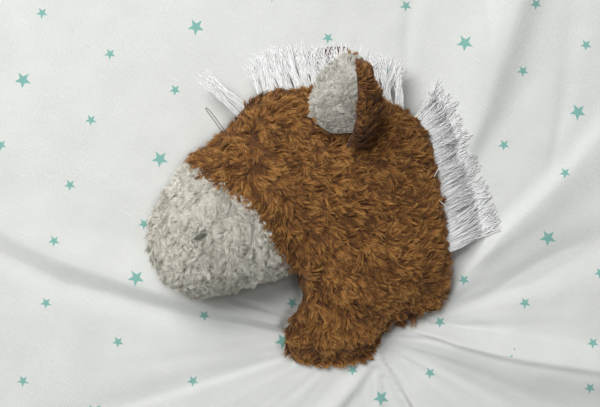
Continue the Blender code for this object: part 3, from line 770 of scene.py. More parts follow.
# %% [markdown]
# ## Star cloth
# The print is small pale green stars on off-white cotton. The stars stand on a slanting
# lattice, every fourth one is larger, and each has one arm that points down. The lattice
# place is found by rounding, and the star is a distance to the line between an arm's tip
# and the notch beside it. A little noise frays the ink, and the weave and its thicker
# threads go into the colour and the bump.

# %% Star print
# Stars that the picture shows: pixel x, pixel y, and their numbers on the lattice.
SEEN_STARS = np.array(
    (
        (42, 13, 0, 0), (110, 54, 1, 0), (175, 90, 2, 0), (23, 80, 0, 1), (91, 120, 1, 1),
        (160, 159, 2, 1), (1, 145, 0, 2), (70, 185, 1, 2), (144, 224, 2, 2), (54, 241, 1, 3),
        (136, 278, 2, 3), (46, 303, 1, 4), (118, 342, 2, 4), (193, 381, 3, 4),
        (23, 381, 1, 5), (196, 27, 2, -1), (258, 61, 3, -1), (328, 38, 4, -2),
        (406, 6, 5, -3), (465, 43, 6, -3), (523, 71, 7, -3), (578, 112, 8, -3),
        (536, 4, 7, -4), (586, 45, 8, -4), (504, 145, 7, -2), (565, 173, 8, -2),
        (548, 238, 8, -1), (600, 273, 9, -1), (525, 303, 8, 0), (593, 343, 9, 0),
        (464, 280, 7, 0), (440, 322, 7, 1), (518, 355, 8, 1), (590, 388, 9, 1),
        (430, 373, 7, 2), (381, 398, 6, 3), (353, 370, 5, 3), (292, 303, 4, 2),
        (283, 341, 4, 3), (372, 334, 6, 2),
    ),
    float,
)
STAR_STEP_A = (68, 40)
STAR_STEP_B = (-20, 66)
PRINT_SOFTNESS = 25.0
PRINT_FALL = -1.7
# A fold swallows the star here.
SWALLOWED_STAR = (518, 355)
SWALLOWED_REACH = 5.5 * MM
PRINT_MAP = "print"


def lattice_numbers(points):
    """Which star of the lattice lies at each point. The gathers at the neck shift the print."""
    steps = np.array([STAR_STEP_A, STAR_STEP_B], float)
    even = (SEEN_STARS[:, :2] - SEEN_STARS[0, :2]) @ np.linalg.inv(steps)
    shift = SEEN_STARS[:, 2:] - even
    pixels = to_photo(points)
    away = ((pixels[:, None] - SEEN_STARS[None, :, :2]) ** 2).sum(-1) + PRINT_SOFTNESS
    weight = away**PRINT_FALL
    weight = weight / weight.sum(1, keepdims=True)
    return (pixels - SEEN_STARS[0, :2]) @ np.linalg.inv(steps) + weight @ shift


def add_print_map(piece):
    """Keeps the lattice numbers as a map of their own on the cloth."""
    mesh = piece.data
    points = np.zeros(3 * len(mesh.vertices))
    mesh.vertices.foreach_get("co", points)
    corners = np.zeros(len(mesh.loops), np.int32)
    mesh.loops.foreach_get("vertex_index", corners)
    numbers = lattice_numbers(points.reshape(-1, 3))[corners]
    layer = mesh.uv_layers.new(name=PRINT_MAP)
    layer.uv.foreach_set("vector", numbers.astype(np.float32).ravel())


LARGE_STAR = 4.5 * MM
SMALL_STAR = 3.1 * MM
STAR_NOTCH = 0.42
STAR_TILT = math.radians(6)


def photo_run(run):
    start = np.array(from_photo(0, 0))
    return np.array(from_photo(*run)) - start


def star_mask(material, fray):
    """1 in the ink of the stars and 0 between them."""
    ax, ay = (float(v) for v in photo_run(STAR_STEP_A))
    bx, by = (float(v) for v in photo_run(STAR_STEP_B))
    lattice = add_node(material.node_tree, "ShaderNodeUVMap", {"uv_map": PRINT_MAP}, {})
    i, j, x = lattice.parts()
    nearest_i = x.maths("ROUND", i)
    nearest_j = x.maths("ROUND", j)
    i, j = i - nearest_i, j - nearest_j
    x, y = i * ax + j * bx, i * ay + j * by
    large = (1 - x.maths("FLOORED_MODULO", nearest_i, 2.0)) * x.maths(
        "FLOORED_MODULO", nearest_j, 2.0
    )
    radius = large * (LARGE_STAR - SMALL_STAR) + SMALL_STAR
    turn = x.maths("ARCTAN2", x, y * -1) + STAR_TILT
    arm = 2 * math.pi / 5
    sector = x.maths("FLOORED_MODULO", turn + arm / 2, arm) - arm / 2
    sector = x.maths("ABSOLUTE", sector)
    reach = x.maths("SQRT", x * x + y * y)
    along = reach * x.maths("COSINE", sector)
    off = reach * x.maths("SINE", sector)
    fall = 1 - STAR_NOTCH * math.cos(arm / 2)
    rise = STAR_NOTCH * math.sin(arm / 2)
    size = math.hypot(fall, rise)
    distance = (along - radius) * (rise / size) + off * (fall / size) + fray
    return distance.clamped(0.16 * MM, -0.16 * MM)


WEAVE_PITCH = 0.8 * MM
WEAVE_LEAN = math.radians(-28)


def cloth_finish(name, printed):
    material, shader = new_finish(name, Roughness=0.85, Sheen_Weight=0.15)
    place = place_on_piece(material)
    x, y, _ = place.parts()
    # Threads run along the lattice, so the pattern of the weave is turned with it.
    warp = x * math.cos(WEAVE_LEAN) + y * math.sin(WEAVE_LEAN)
    weft = y * math.cos(WEAVE_LEAN) - x * math.sin(WEAVE_LEAN)
    flat = place.node("ShaderNodeCombineXYZ", {}, {0: warp, 1: weft})
    slub = grain(flat, 1.3 * MM, 2.0, 0.55, (9.0, 1.0, 1.0)).clamped(0.56, 0.74)
    cross = grain(flat, 1.1 * MM, 2.0, 0.55, (1.0, 12.0, 1.0)).clamped(0.58, 0.76)
    cloud = grain(flat, 26 * MM, 2.0, 0.5)
    fuzz = grain(flat, 0.45 * MM, 1.0, 0.6)
    ribs = x.maths("SINE", weft * (2 * math.pi / WEAVE_PITCH)) * 0.5 + 0.5
    tone = slub * 0.16 + cross * 0.1 + fuzz * 0.7 + cloud * 0.5 + ribs * 0.28 - 0.22
    colour = tone.mix(srgb(214, 216, 212), srgb(248, 249, 245))
    if printed:
        ink = star_mask(material, (grain(place, 0.8 * MM) - 0.5) * (0.5 * MM))
        fold_x, fold_y = (float(v) for v in from_photo(*SWALLOWED_STAR))
        east, north = x - fold_x, y - fold_y
        from_fold = x.maths("SQRT", east * east + north * north)
        ink = ink * (fuzz * 0.5 + 0.62) * x.maths("GREATER_THAN", from_fold, SWALLOWED_REACH)
        colour = ink.mix(colour, srgb(112, 184, 172))
    weave = x.maths("SINE", warp * (2 * math.pi / WEAVE_PITCH)) * (ribs - 0.5)
    height = weave * 0.5 + ribs * 0.5 + slub * 0.6 + cross * 0.5 + fuzz * 0.6
    feed(material, shader, Base_Color=colour, Normal=bump(height, 0.16 * MM, 0.8))
    return material


star_cloth = cloth_finish("star_cloth", True)
backing_cloth = cloth_finish("backing_cloth", False)
blanket_front = blanket_layer(
    "star_cloth_front", CLOTH_THICKNESS + FIT_GAP, True, star_cloth
)
blanket_back = blanket_layer("backing_cloth", 0.0, False, backing_cloth)
add_print_map(blanket_front)
dress(blanket_front, "star_cloth", "blanket", "blanket_front")
dress(blanket_back, "backing_cloth", "blanket", "blanket_back")

# %% [markdown]
# ## Stitches of the blanket
# A turned edge is held flat by a second line of stitches. Each stitch is a short thread
# that dips into the cloth at both ends, so it is a small bent tube on the surface.

# %% Stitched edge
STITCH_LENGTH = 2.6 * MM
STITCH_PITCH = 3.6 * MM
STITCH_RADIUS = 0.22 * MM


def thread_finish(name, dark, light, roughness=0.6):
    material, shader = new_finish(name, Roughness=roughness, Sheen_Weight=0.3)
    across, along = tuft_values(material)
    colour = across.mix(dark, light)
    ply = across.maths("SINE", along * 60.0 + across * 40.0) * 0.5 + 0.5
    feed(material, shader, Base_Color=colour, Normal=bump(ply, 0.1 * MM, 0.4))
    return material


def tuft_values(material):
    """Across: a tuft's own shade. Along: the way from its root to its tip."""
    inputs = add_node(material.node_tree, "ShaderNodeUVMap", {"uv_map": TUFT_MAP}, {})
    across, along, _ = inputs.parts()
    return across, along


white_thread = thread_finish("white_thread", srgb(214, 214, 208), srgb(238, 238, 234))


def edge_line(inset, count):
    angles = np.linspace(0, 2 * np.pi, count, endpoint=False)
    reach = edge_distance(angles)
    spots = np.stack([reach * np.cos(angles), reach * np.sin(angles)], axis=1)
    return spots * (1 - inset / (0.5 * BLANKET_SIDE))


def stitches_on_cloth(name, line, body_level):
    """Evenly spaced stitches along a closed line on the cloth."""
    closed = np.concatenate([line, line[:1]])
    steps = np.linalg.norm(np.diff(closed, axis=0), axis=1)
    far = np.concatenate([[0], steps.cumsum()])
    count = int(far[-1] / STITCH_PITCH)
    starts = np.arange(count) * far[-1] / count
    places = starts[:, None] + np.linspace(0, STITCH_LENGTH, 5)
    flat = np.stack([np.interp(places % far[-1], far, closed[:, k]) for k in (0, 1)], -1)
    height = cloth_lift(flat.reshape(-1, 2)).reshape(count, -1)
    dip = np.array([-0.25, 0.05, 0.15, 0.05, -0.25]) * MM
    paths = np.concatenate([flat, (body_level + height + dip)[..., None]], axis=-1)
    return new_piece(name, *tubes_of(paths, STITCH_RADIUS, 5, white_thread))


def tubes_of(paths, radius, sides, material, **options):
    radii = np.broadcast_to(radius, len(paths))
    points, faces, places = tubes(paths, radii, sides, **options)
    return points, faces, material, places


hem_stitches = stitches_on_cloth(
    "hem_stitches", edge_line(HEM_WIDTH, 720), CLOTH_TOP - 0.1 * MM
)
dress(hem_stitches, "white_thread", "blanket")

# %% [markdown]
# ## Neck seam
# The open end of the neck is whipped to the blanket by hand. The thread runs round the
# fold of plush again and again, so its path is a flat spiral along the seam.

# %% Whip stitches of the neck
SEAM_TURNS = 16
seam_half = 0.5 * neck_width - PLUSH_THICKNESS
seam_share = np.linspace(-1, 1, SEAM_TURNS * 10)
seam_turn = seam_share * np.pi * SEAM_TURNS
seam_centre = np.outer(seam_share * seam_half, neck_line)
seam_swing = np.array([-neck_line[1], neck_line[0]])
seam_path = np.column_stack(
    [
        seam_centre + np.outer(np.cos(seam_turn), seam_swing) * (0.45 * MM),
        CLOTH_TOP + SEAM_CLEARANCE + 0.3 * MM * np.sin(seam_turn),
    ]
)
neck_seam = new_piece(
    "neck_whip_stitches", *tubes_of(seam_path[None], 0.28 * MM, 6, white_thread)
)
dress(neck_seam, "white_thread", "blanket", "neck_seam")

# %% [markdown]
# ## Plush skins
# Under the tufts lies the knitted ground of the plush. Each side of the head has a face
# panel and a muzzle panel, and each is a thin curved shell over the filling. They follow
# the head's sections, so the tufts can be planted on them anywhere.


# %% Ground of the plush
def ground_finish(name, dark, light):
    """A knitted ground, seen only where tufts part."""
    material, shader = new_finish(name, Roughness=0.95, Sheen_Weight=0.2)
    place = place_on_piece(material)
    tone = grain(place, 1.6 * MM, 3.0, 0.6).clamped(0.3, 0.7)
    patch = grain(place, 9 * MM, 2.0)
    colour = (tone * 0.6 + patch * 0.4).mix(dark, light)
    feed(material, shader, Base_Color=colour, Normal=bump(tone, 0.5 * MM, 0.8))
    return material


NECK_BEND = 28 * MM


def bend_at_neck(piece):
    """Bakes where the piece lies into its points. Nothing bends at the neck here."""
    up_neck = np.array([-neck_line[1], neck_line[0]]) * NECK_BEND
    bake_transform(piece)


def skin_panel(name, node, side, is_face, material, rows=40, columns=28):
    """One side panel of the head: side 1 is the left cheek on top."""
    share = np.linspace(0, 1, rows)[:, None]
    angle = np.linspace(0, np.pi, columns)[None, :]
    seam = muzzle_seam(angle)
    grids = []
    for inset in (0.0, 0.8 * PLUSH_THICKNESS):
        nose = 0.7 if inset else 0.0
        start, stop = (seam, NECK_END_SECTION) if is_face else (nose, seam)
        section = start + (stop - start) * share
        points = head_points(section, side * angle, inset, hem=inset > 0)
        at_crest = 0.5 * (1 + np.cos(angle)) * ease(section - MUZZLE_SEAM_SECTION)
        lift = 0.5 * FIT_GAP + (TAPE_GAP - 0.5 * FIT_GAP) * at_crest
        points[..., 2] += side * lift
        if side > 0:
            points = rolled_hem(points, section, angle)
            dent = crease_depth(points.reshape(-1, 3)).reshape(points.shape[:2])
            points[..., 2] -= np.minimum(dent, DEEPEST_CREASE * PLUSH_THICKNESS)
        grids.append(points.reshape(-1, 3))
    faces = slab_faces(rows, columns)
    faces = faces if side > 0 else faces[:, ::-1]
    piece = new_piece(name, np.concatenate(grids), faces, material)
    slot, body = ("brown_plush", None) if is_face else ("pale_plush", "head")
    dress(piece, slot, body, node)
    if is_face:
        bend_at_neck(piece)
    return piece


brown_ground = ground_finish("brown_ground", srgb(70, 40, 18), srgb(120, 72, 34))
pale_ground = ground_finish("pale_ground", srgb(165, 163, 152), srgb(200, 198, 188))
for side_name, side in (("left", 1), ("right", -1)):
    face = skin_panel(
        f"face_ground_{side_name}", f"face_panel_{side_name}", side, True, brown_ground
    )
    muzzle = skin_panel(
        f"muzzle_ground_{side_name}", f"muzzle_panel_{side_name}", side, False, pale_ground
    )

# %% [markdown]
# ## Filling
# The head is packed with loose fibre. It never shows while the seams hold, and it fills
# the shells from inside, so it is a plain swelling form with a tangled surface.

# %% Fibre filling
filling, filling_shader = new_finish("fibre_filling", Roughness=1.0, Sheen_Weight=0.4)
filling_place = place_on_piece(filling)
tangle = grain(filling_place, 2.5 * MM, 4.0, 0.65)
feed(
    filling,
    filling_shader,
    Base_Color=tangle.mix(srgb(205, 205, 203), srgb(240, 240, 238)),
    Normal=bump(tangle, 1.2 * MM),
)
FILL_ROWS = 40
FILL_SIDES = 32
fill_section = np.linspace(*STUFFING_SECTIONS, FILL_ROWS)[:, None]
fill_angle = np.linspace(0, 2 * np.pi, FILL_SIDES + 1)[None, :-1]
fill_points = head_points(
    fill_section, fill_angle, PLUSH_THICKNESS + STUFFING_GAP, hem=True
).reshape(-1, 3)
fill_faces = grid_faces(FILL_ROWS, FILL_SIDES, wrap=True)
fill_ends = np.array([fill_points[:FILL_SIDES].mean(0), fill_points[-FILL_SIDES:].mean(0)])
end_ring = np.arange(FILL_SIDES)
next_ring = np.roll(end_ring, -1)
last_ring = len(fill_points) - FILL_SIDES
nose_middle, neck_middle = np.full((2, FILL_SIDES), len(fill_points)) + [[0], [1]]
nose_cap = np.stack([next_ring, end_ring, nose_middle], axis=1)
neck_cap = np.stack([end_ring + last_ring, next_ring + last_ring, neck_middle], axis=1)
fill_triangles = np.concatenate([fill_faces[:, [0, 1, 2]], fill_faces[:, [0, 2, 3]]])
head_filling = new_piece(
    "head_filling",
    np.concatenate([fill_points, fill_ends]),
    np.concatenate([fill_triangles, nose_cap, neck_cap]),
    filling,
)
dress(head_filling, "filling", node="head_stuffing")
bend_at_neck(head_filling)

# %% [markdown]
# ## How the plush lies
# Plush pile has a nap: it lies over in one direction, and washing mats it into locks that
# wander. A few spots were read off the picture, each with the direction in which its
# tufts point. Between the spots the direction is blended, then noise makes it wander.

# %% Direction of the pile
# Each spot: pixel x, pixel y, and the direction in degrees, anticlockwise from the right.
FACE_NAP = (
    (198, 158, 175), (222, 146, 140), (236, 128, 120), (250, 108, 100), (300, 97, 88),
    (345, 99, 80), (400, 115, 45), (225, 178, -140), (262, 207, -125), (281, 240, -115),
    (236, 146, -175), (246, 133, 150), (261, 137, -25), (284, 122, -12), (300, 135, -12),
    (290, 110, 20), (330, 112, 12), (300, 165, -18),
    (330, 175, -12), (275, 185, -40), (320, 210, -8), (360, 165, -4), (355, 205, -6),
    (400, 165, 0), (405, 195, 8), (415, 225, 24), (436, 235, 12), (400, 255, 14),
    (446, 280, -15), (425, 305, -28), (398, 330, -40), (300, 235, -60), (310, 260, -62),
    (350, 250, -35), (310, 290, -80), (345, 290, -55), (385, 290, -30), (320, 335, -95),
    (298, 352, -115), (335, 368, -85), (362, 352, -60), (375, 325, -45), (428, 150, 15),
)
MUZZLE_NAP = (
    (168, 200, -150), (158, 235, -115), (165, 270, -85), (188, 293, -60), (225, 290, -95),
    (262, 283, -85), (285, 262, -60), (195, 182, -165), (225, 190, -170), (250, 215, -150),
    (268, 240, -135), (200, 215, -165), (225, 240, -130), (245, 262, -125), (200, 262, -130),
)


def nap_direction(points, spots, wander, seed):
    """The way in which the pile lies at each point, level with the floor."""
    spots = np.array(spots, float)
    pixels = to_photo(points)
    away = ((pixels[:, None] - spots[None, :, :2]) ** 2).sum(-1) + 60.0
    weight = away**-2
    turn = np.radians(spots[:, 2])
    flat = weight @ np.stack([np.cos(turn), np.sin(turn)], axis=1)
    angle = np.arctan2(flat[:, 1], flat[:, 0])
    angle = angle + noise_at(points, 11 * MM, seed)[:, 0] * wander
    angle = angle + noise_at(points, 4.5 * MM, seed + 5)[:, 1] * 0.6 * wander
    return np.stack([np.cos(angle), np.sin(angle), 0 * angle], axis=1)


# %% [markdown]
# ## Tufts
# One lock of pile is a few dozen fibres that cling together. For each lock there is one
# centre, and every tuft near it bends towards the lock's own tip. Locks lean together in
# turn into bunches, with dark partings between them. Locks and bunches differ in length,
# height and shade, which gives the mottled look of washed plush. A tuft is a flat ribbon
# with a pointed tip: at this scale it reads as a bundle of fibres, and it is cheap.


# %% Plant tufts
def spread_on_head(density, side, is_face, seed, zone):
    """Sections and angles spread evenly over a zone of a panel's surface."""
    rows, columns = 160, 90
    generator = np.random.default_rng(seed)
    share = np.linspace(0, 1, rows)[:, None]
    angle = np.linspace(0, np.pi, columns)[None, :]
    seam = muzzle_seam(angle)
    start, stop = (seam, NECK_END_SECTION - 0.05) if is_face else (0.15, seam)
    section = start + (stop - start) * share
    points = head_points(section, side * angle)
    down = points[1:, :-1] - points[:-1, :-1]
    right = points[:-1, 1:] - points[:-1, :-1]
    area = np.linalg.norm(np.cross(down, right), axis=-1)
    area = np.where((section[:-1, :-1] >= zone[0]) & (section[:-1, :-1] < zone[1]), area, 0)
    area = area.ravel()
    count = int(area.sum() * density)
    cell = generator.choice(len(area), count, p=area / area.sum())
    row = cell // (columns - 1) + generator.random(count)
    column = cell % (columns - 1) + generator.random(count)
    angles = np.pi * column / (columns - 1)
    seams = muzzle_seam(angles)
    start, stop = (seams, NECK_END_SECTION - 0.05) if is_face else (0.15, seams)
    return start + (stop - start) * row / (rows - 1), side * angles


def nearest_of(points, centres):
    tree = kdtree.KDTree(len(centres))
    for index, centre in enumerate(centres):
        tree.insert(centre, index)
    tree.balance()
    return np.array([tree.find(point)[1] for point in points])


def share_out(roots, per_group, generator):
    """Puts tufts into groups: the middle of each tuft's group, its number and the count."""
    count = max(4, int(len(roots) / per_group))
    picked = generator.choice(len(roots), count, replace=False)
    group = nearest_of(roots, roots[picked])
    return roots[picked][group], group, count


# One tuft in ten is wider and painted paler than those around it: a painted highlight.
HIGHLIGHT_SHARE = 0.1
HIGHLIGHT_WIDTH = 1.35
HIGHLIGHT_PALER = 0.4
# The least and the most share of the pile's length, height and width.
LOCK_LENGTHS = (0.75, 1.2)
TUFT_LENGTHS = (0.65, 1.2)
TUFT_HEIGHTS = (0.7, 1.2)
TUFT_WIDTHS = (0.7, 1.3)
BUNCH_HEIGHTS = (0.7, 1.3)
TUFT_STEPS = np.array([0.0, 0.36, 0.72, 1.0])[None, :, None]
TUFT_ROLL = 0.45
SHADE_PATCH = 17 * MM
CREASE_PAINTED_SHADE = 90


def grow_tufts(roots, normals, lies, pile, seed, scale=1.0, painted_paler=0.0):
    """Paths of tufts. The pile gives length, height, lock size and how far locks cling."""
    generator = np.random.default_rng(seed)
    count = len(roots)
    centre, lock, locks = share_out(roots, pile["per_lock"], generator)
    middle, bunch, bunches = share_out(roots, pile["per_bunch"], generator)
    lock_turn = generator.normal(0, pile["lock_turn"], locks)[lock]
    lock_turn = lock_turn + generator.normal(0, pile["bunch_turn"], bunches)[bunch]
    own_turn = generator.normal(0, pile["own_turn"], count)
    lies = unit(lies - normals * (lies * normals).sum(-1, keepdims=True))
    side = np.cross(normals, lies)

    def turned(angle):
        return lies * np.cos(angle)[:, None] + side * np.sin(angle)[:, None]

    own_way, lock_way = turned(lock_turn + own_turn), turned(lock_turn)
    lock_scale = generator.uniform(*LOCK_LENGTHS, locks)[lock]
    length = pile["length"] * lock_scale * generator.uniform(*TUFT_LENGTHS, count) * scale
    lock_height = generator.beta(2.0, 2.2, locks)[lock]
    bunch_height = generator.uniform(*BUNCH_HEIGHTS, bunches)[bunch]
    out = np.linalg.norm(roots - middle, axis=1)
    mound = np.clip(1.35 - 0.4 * out / out.mean(), 0.45, 1.3)
    height = pile["height"] * (0.35 + 0.9 * lock_height) * bunch_height * mound
    height = height * generator.uniform(*TUFT_HEIGHTS, count)
    curl = generator.normal(0, pile["curl"], locks)[lock]
    steps = TUFT_STEPS
    rise = 1 - (1 - steps) ** 1.8
    arch = normals[:, None] * height[:, None, None] * rise
    arch = arch + side[:, None] * (curl * length)[:, None, None] * steps**2
    own = roots[:, None] + own_way[:, None] * length[:, None, None] * steps + arch
    held = centre + (roots - centre) * (1 - pile["cling"])
    together = held[:, None] + (middle - centre)[:, None] * pile["bunch_cling"] * steps
    together = together + lock_way[:, None] * length[:, None, None] * steps + arch
    hold = pile["hold"] * steps**0.8
    paths = own * (1 - hold) + together * hold
    sag = 0.5 * (length[:, None, None] * steps) ** 2 / pile["roundness"]
    paths = paths - normals[:, None] * sag
    floor = CLOTH_TOP + cloth_lift(paths[:, -1, :2]) + 0.4 * MM
    paths[..., 2] = np.maximum(paths[..., 2], floor[:, None])
    roll = generator.normal(0, TUFT_ROLL, count)[:, None, None]
    run = unit(np.gradient(paths, axis=1))
    across = unit(np.cross(run, normals[:, None]))
    lifted = np.cross(run, across)
    across = across * np.cos(roll) + lifted * np.sin(roll)
    width = pile["width"] * generator.uniform(*TUFT_WIDTHS, count)
    painted_light = generator.random(count) < HIGHLIGHT_SHARE
    width = np.where(painted_light, HIGHLIGHT_WIDTH * width, width)
    patch = noise_at(roots, SHADE_PATCH, seed + 2.5)[:, 2]
    shade = 0.5 + 0.26 * patch + generator.normal(0, 0.24, locks)[lock]
    shade = shade + generator.normal(0, 0.12, bunches)[bunch]
    # Tufts in a crease are painted darker: painted shade.
    shade = shade + generator.normal(0, 0.16, count) - CREASE_PAINTED_SHADE * crease_depth(roots)
    # Painted light: the few highlight tufts and the rolled hem are painted paler.
    shade = shade + HIGHLIGHT_PALER * painted_light + painted_paler
    return paths, across, width, np.clip(shade, 0, 1)


def tuft_piece(name, grown, material, slot, body=None):
    print(name, len(grown[0]), "tufts")
    points, faces, places = ribbons(*grown)
    return dress(new_piece(name, points, faces, material, places), slot, body)


# %% [markdown]
# ## Plush colours
# A tuft is painted dark at its root: painted shade, for the light that does not reach down
# there. Its tip is paler: partly the fibre's own paler end, partly painted highlight. The
# shade of each tuft moves it between a cooler and a warmer brown. Sheen stands for the soft
# light that stray fibres scatter towards the eye.


# %% Pile finishes
def pile_finish(name, root, cool, warm, tip, sheen):
    material, shader = new_finish(
        name, Roughness=0.75, Sheen_Weight=sheen, Sheen_Roughness=0.6, Specular_IOR_Level=0.25
    )
    across, along = tuft_values(material)
    body = across.clamped(0.1, 0.8).mix(cool, warm)
    # Dark roots: painted shade.
    colour = along.clamped(0.05, 0.62).mix(root, body)
    # Pale tips: partly the fibre's own colour, partly painted highlight, more on lighter tufts.
    colour = (along.clamped(0.5, 1.0) * across.clamped(0.3, 1.0)).mix(colour, tip)
    feed(material, shader, Base_Color=colour)
    return material


# Root, cool, warm and tip: the dark root is painted shade, the pale tip partly painted highlight.
BROWNS = (srgb(42, 22, 9), srgb(100, 62, 27), srgb(160, 105, 48), srgb(224, 174, 100))
PALES = (srgb(172, 167, 152), srgb(208, 204, 191), srgb(241, 237, 225), srgb(253, 251, 243))
brown_pile = pile_finish("brown_pile", *BROWNS, 0.12)
pale_pile = pile_finish("pale_pile", *PALES, 0.15)

LONG_PILE = {
    "length": 5.8 * MM, "height": 2.5 * MM, "width": 0.23 * MM, "per_lock": 22, "lock_turn": 0.26,
    "own_turn": 0.16, "curl": 0.3, "cling": 0.75, "hold": 0.85, "roundness": 30 * MM,
    "per_bunch": 220, "bunch_turn": 0.34, "bunch_cling": 0.4,
}
SHORT_PILE = {
    "length": 4.0 * MM, "height": 2.1 * MM, "width": 0.13 * MM, "per_lock": 24, "lock_turn": 0.45,
    "own_turn": 0.38, "curl": 0.5, "cling": 0.7, "hold": 0.72, "roundness": 22 * MM,
    "per_bunch": 300, "bunch_turn": 0.5, "bunch_cling": 0.45,
}
FACE_NAP_WANDER = 0.8
MUZZLE_NAP_WANDER = 0.7


def rolled_frames(section, angle, side):
    """Roots on the plush, with the hem rolled out, and the way out of its surface."""
    if side < 0:
        return head_frames(section, angle)[:2]

    def rolled(on_section, on_angle):
        return rolled_hem(head_points(on_section, on_angle), on_section, on_angle)

    roots, normals, _ = head_frames(section, angle, rolled)
    roots[:, 2] -= np.minimum(crease_depth(roots), DEEPEST_CREASE * PLUSH_THICKNESS)
    return roots, normals


# The rolled hem is painted paler than the rest: painted light, as its pile turns away from the
# lamp.
HEM_PAINTED_LIGHT = 0.2
HEM_TRIM = 0.45
# By the muzzle's seam the pale pile is short, so the brown lies over it.
SEAM_TRIM = 0.3
SEAM_TRIM_REACH = 0.45


def cover_panel(name, density, side, is_face, zone, seed):
    """Plants the pile on one zone of a side of the face or of the muzzle."""
    section, angle = spread_on_head(density, side, is_face, seed, zone)
    roots, normals = rolled_frames(section, angle, side)
    if is_face:
        lies = nap_direction(roots, FACE_NAP, FACE_NAP_WANDER, 3)
        # Painted light on the rolled hem.
        painted_light = ease(section - HEM_SECTION + 1.5) * (side > 0)
        short = 1 - HEM_TRIM * ease(section - HEM_SECTION + 0.6) * (side > 0)
        grown = grow_tufts(roots, normals, lies, LONG_PILE, seed, short, HEM_PAINTED_LIGHT * painted_light)
        bend_at_neck(tuft_piece(name, grown, brown_pile, "brown_plush"))
        return
    room = room_by_nostrils(roots)
    from_seam = ease((muzzle_seam(angle) - section) / SEAM_TRIM_REACH)
    short = np.clip(NOSTRIL_TRIM * room, 0.0, 1.0) * (SEAM_TRIM + (1 - SEAM_TRIM) * from_seam)
    free = room > 1
    roots, normals, short = roots[free], normals[free], short[free]
    lies = nap_direction(roots, MUZZLE_NAP, MUZZLE_NAP_WANDER, 4)
    grown = grow_tufts(roots, normals, lies, SHORT_PILE, seed, short)
    tuft_piece(name, grown, pale_pile, "pale_plush", "head")


# %% [markdown]
# ## Nostrils
# Each nostril is a short slit of satin stitch: dark threads side by side, pulled into the
# pile so that it dimples. The threads are thin tubes that bow along the slit, and the
# tufts are left out where the stitches lie.

# %% Nostril threads
NOSTRIL_LENGTH = 6.6 * MM
NOSTRIL_WIDTH = 1.9 * MM
NOSTRIL_SECTION = 4.37
NOSTRIL_ANGLE = math.radians(83)
NOSTRIL_TURN = math.radians(-13)
NOSTRIL_THREADS = 9
NOSTRIL_THREAD_RADIUS = 0.24 * MM
NOSTRIL_LIFT = 1.2 * MM
NOSTRIL_STAND_OUT = 0.6 * MM
NOSTRIL_TRIM = 0.3


def nostril_frame(side):
    """Middle of the slit, outward normal, and the way along it."""
    section, angle = np.array([NOSTRIL_SECTION]), np.array([side * NOSTRIL_ANGLE])
    point, normal, along = (row[0] for row in head_frames(section, angle))
    turn = Matrix.Rotation(side * NOSTRIL_TURN, 3, Vector(normal))
    return point, normal, np.array(turn @ Vector(along))


def room_by_nostrils(roots):
    """How far roots lie from the slits: below 1 is under the stitches."""
    room = np.full(len(roots), np.inf)
    for side in (1, -1):
        point, normal, along = nostril_frame(side)
        off = roots - point
        run = off @ along
        across = np.linalg.norm(off - np.outer(run, along), axis=1)
        reach = (run / (0.6 * NOSTRIL_LENGTH)) ** 2 + (across / (0.9 * NOSTRIL_WIDTH)) ** 2
        room = np.minimum(room, np.sqrt(reach))
    return room


dark_thread = thread_finish("dark_thread", srgb(58, 57, 46), srgb(104, 101, 84), 0.5)


def nostril(name, node, side):
    point, normal, along = nostril_frame(side)
    across = np.cross(normal, along)
    lay = np.linspace(-1, 1, NOSTRIL_THREADS)
    run = np.linspace(-1, 1, 9)
    length = 0.5 * NOSTRIL_LENGTH * np.sqrt(1 - 0.55 * lay**2)
    bow = 0.5 * NOSTRIL_WIDTH * lay[:, None] * (1 - 0.75 * run[None] ** 2)
    rise = NOSTRIL_STAND_OUT * (1 - run[None] ** 2) * (1 - 0.5 * lay[:, None] ** 2)
    paths = (
        point
        + normal * (NOSTRIL_LIFT + rise)[..., None]
        + along * (length[:, None] * run[None])[..., None]
        + across * bow[..., None]
    )
    piece = new_piece(name, *tubes_of(paths, NOSTRIL_THREAD_RADIUS, 6, dark_thread))
    dress(piece, "dark_thread", "head", node)


for side_name, side in (("left", 1), ("right", -1)):
    nostril(f"nostril_stitches_{side_name}", f"nostril_{side_name}", side)

# %% Cover the head
# Tufts to a square metre, and the stretch of sections that each piece covers.
SEEN_DENSITY = 12.5e6
HIDDEN_DENSITY = 4.0e6
MUZZLE_DENSITY = 19.0e6
FACE_ZONES = {
    "brow": (0, 9.0), "poll": (9.0, 10.9), "cheek": (10.9, 12.7), "neck": (12.7, 14.6),
    "hem": (14.6, 19),
}
MUZZLE_ZONES = {"nose": (0, 3.8), "lip": (3.8, 5.2), "jaw": (5.2, 9)}
for index, (zone_name, zone) in enumerate(FACE_ZONES.items()):
    cover_panel(f"face_pile_left_{zone_name}", SEEN_DENSITY, 1, True, zone, 11 + index)
cover_panel("face_pile_right", HIDDEN_DENSITY, -1, True, (0, 19), 17)
for index, (zone_name, zone) in enumerate(MUZZLE_ZONES.items()):
    cover_panel(f"muzzle_pile_left_{zone_name}", MUZZLE_DENSITY, 1, False, zone, 18 + index)
cover_panel("muzzle_pile_right", HIDDEN_DENSITY, -1, False, (0, 9), 24)

# %% [markdown]
# ## Ears
# An ear is a plush back and a short pale lining, sewn together and folded along its
# length. The left one is on top: its right half curls over, so that the brown back shows
# beside the lining. The right one lies flat on the blanket under the edge of the head.

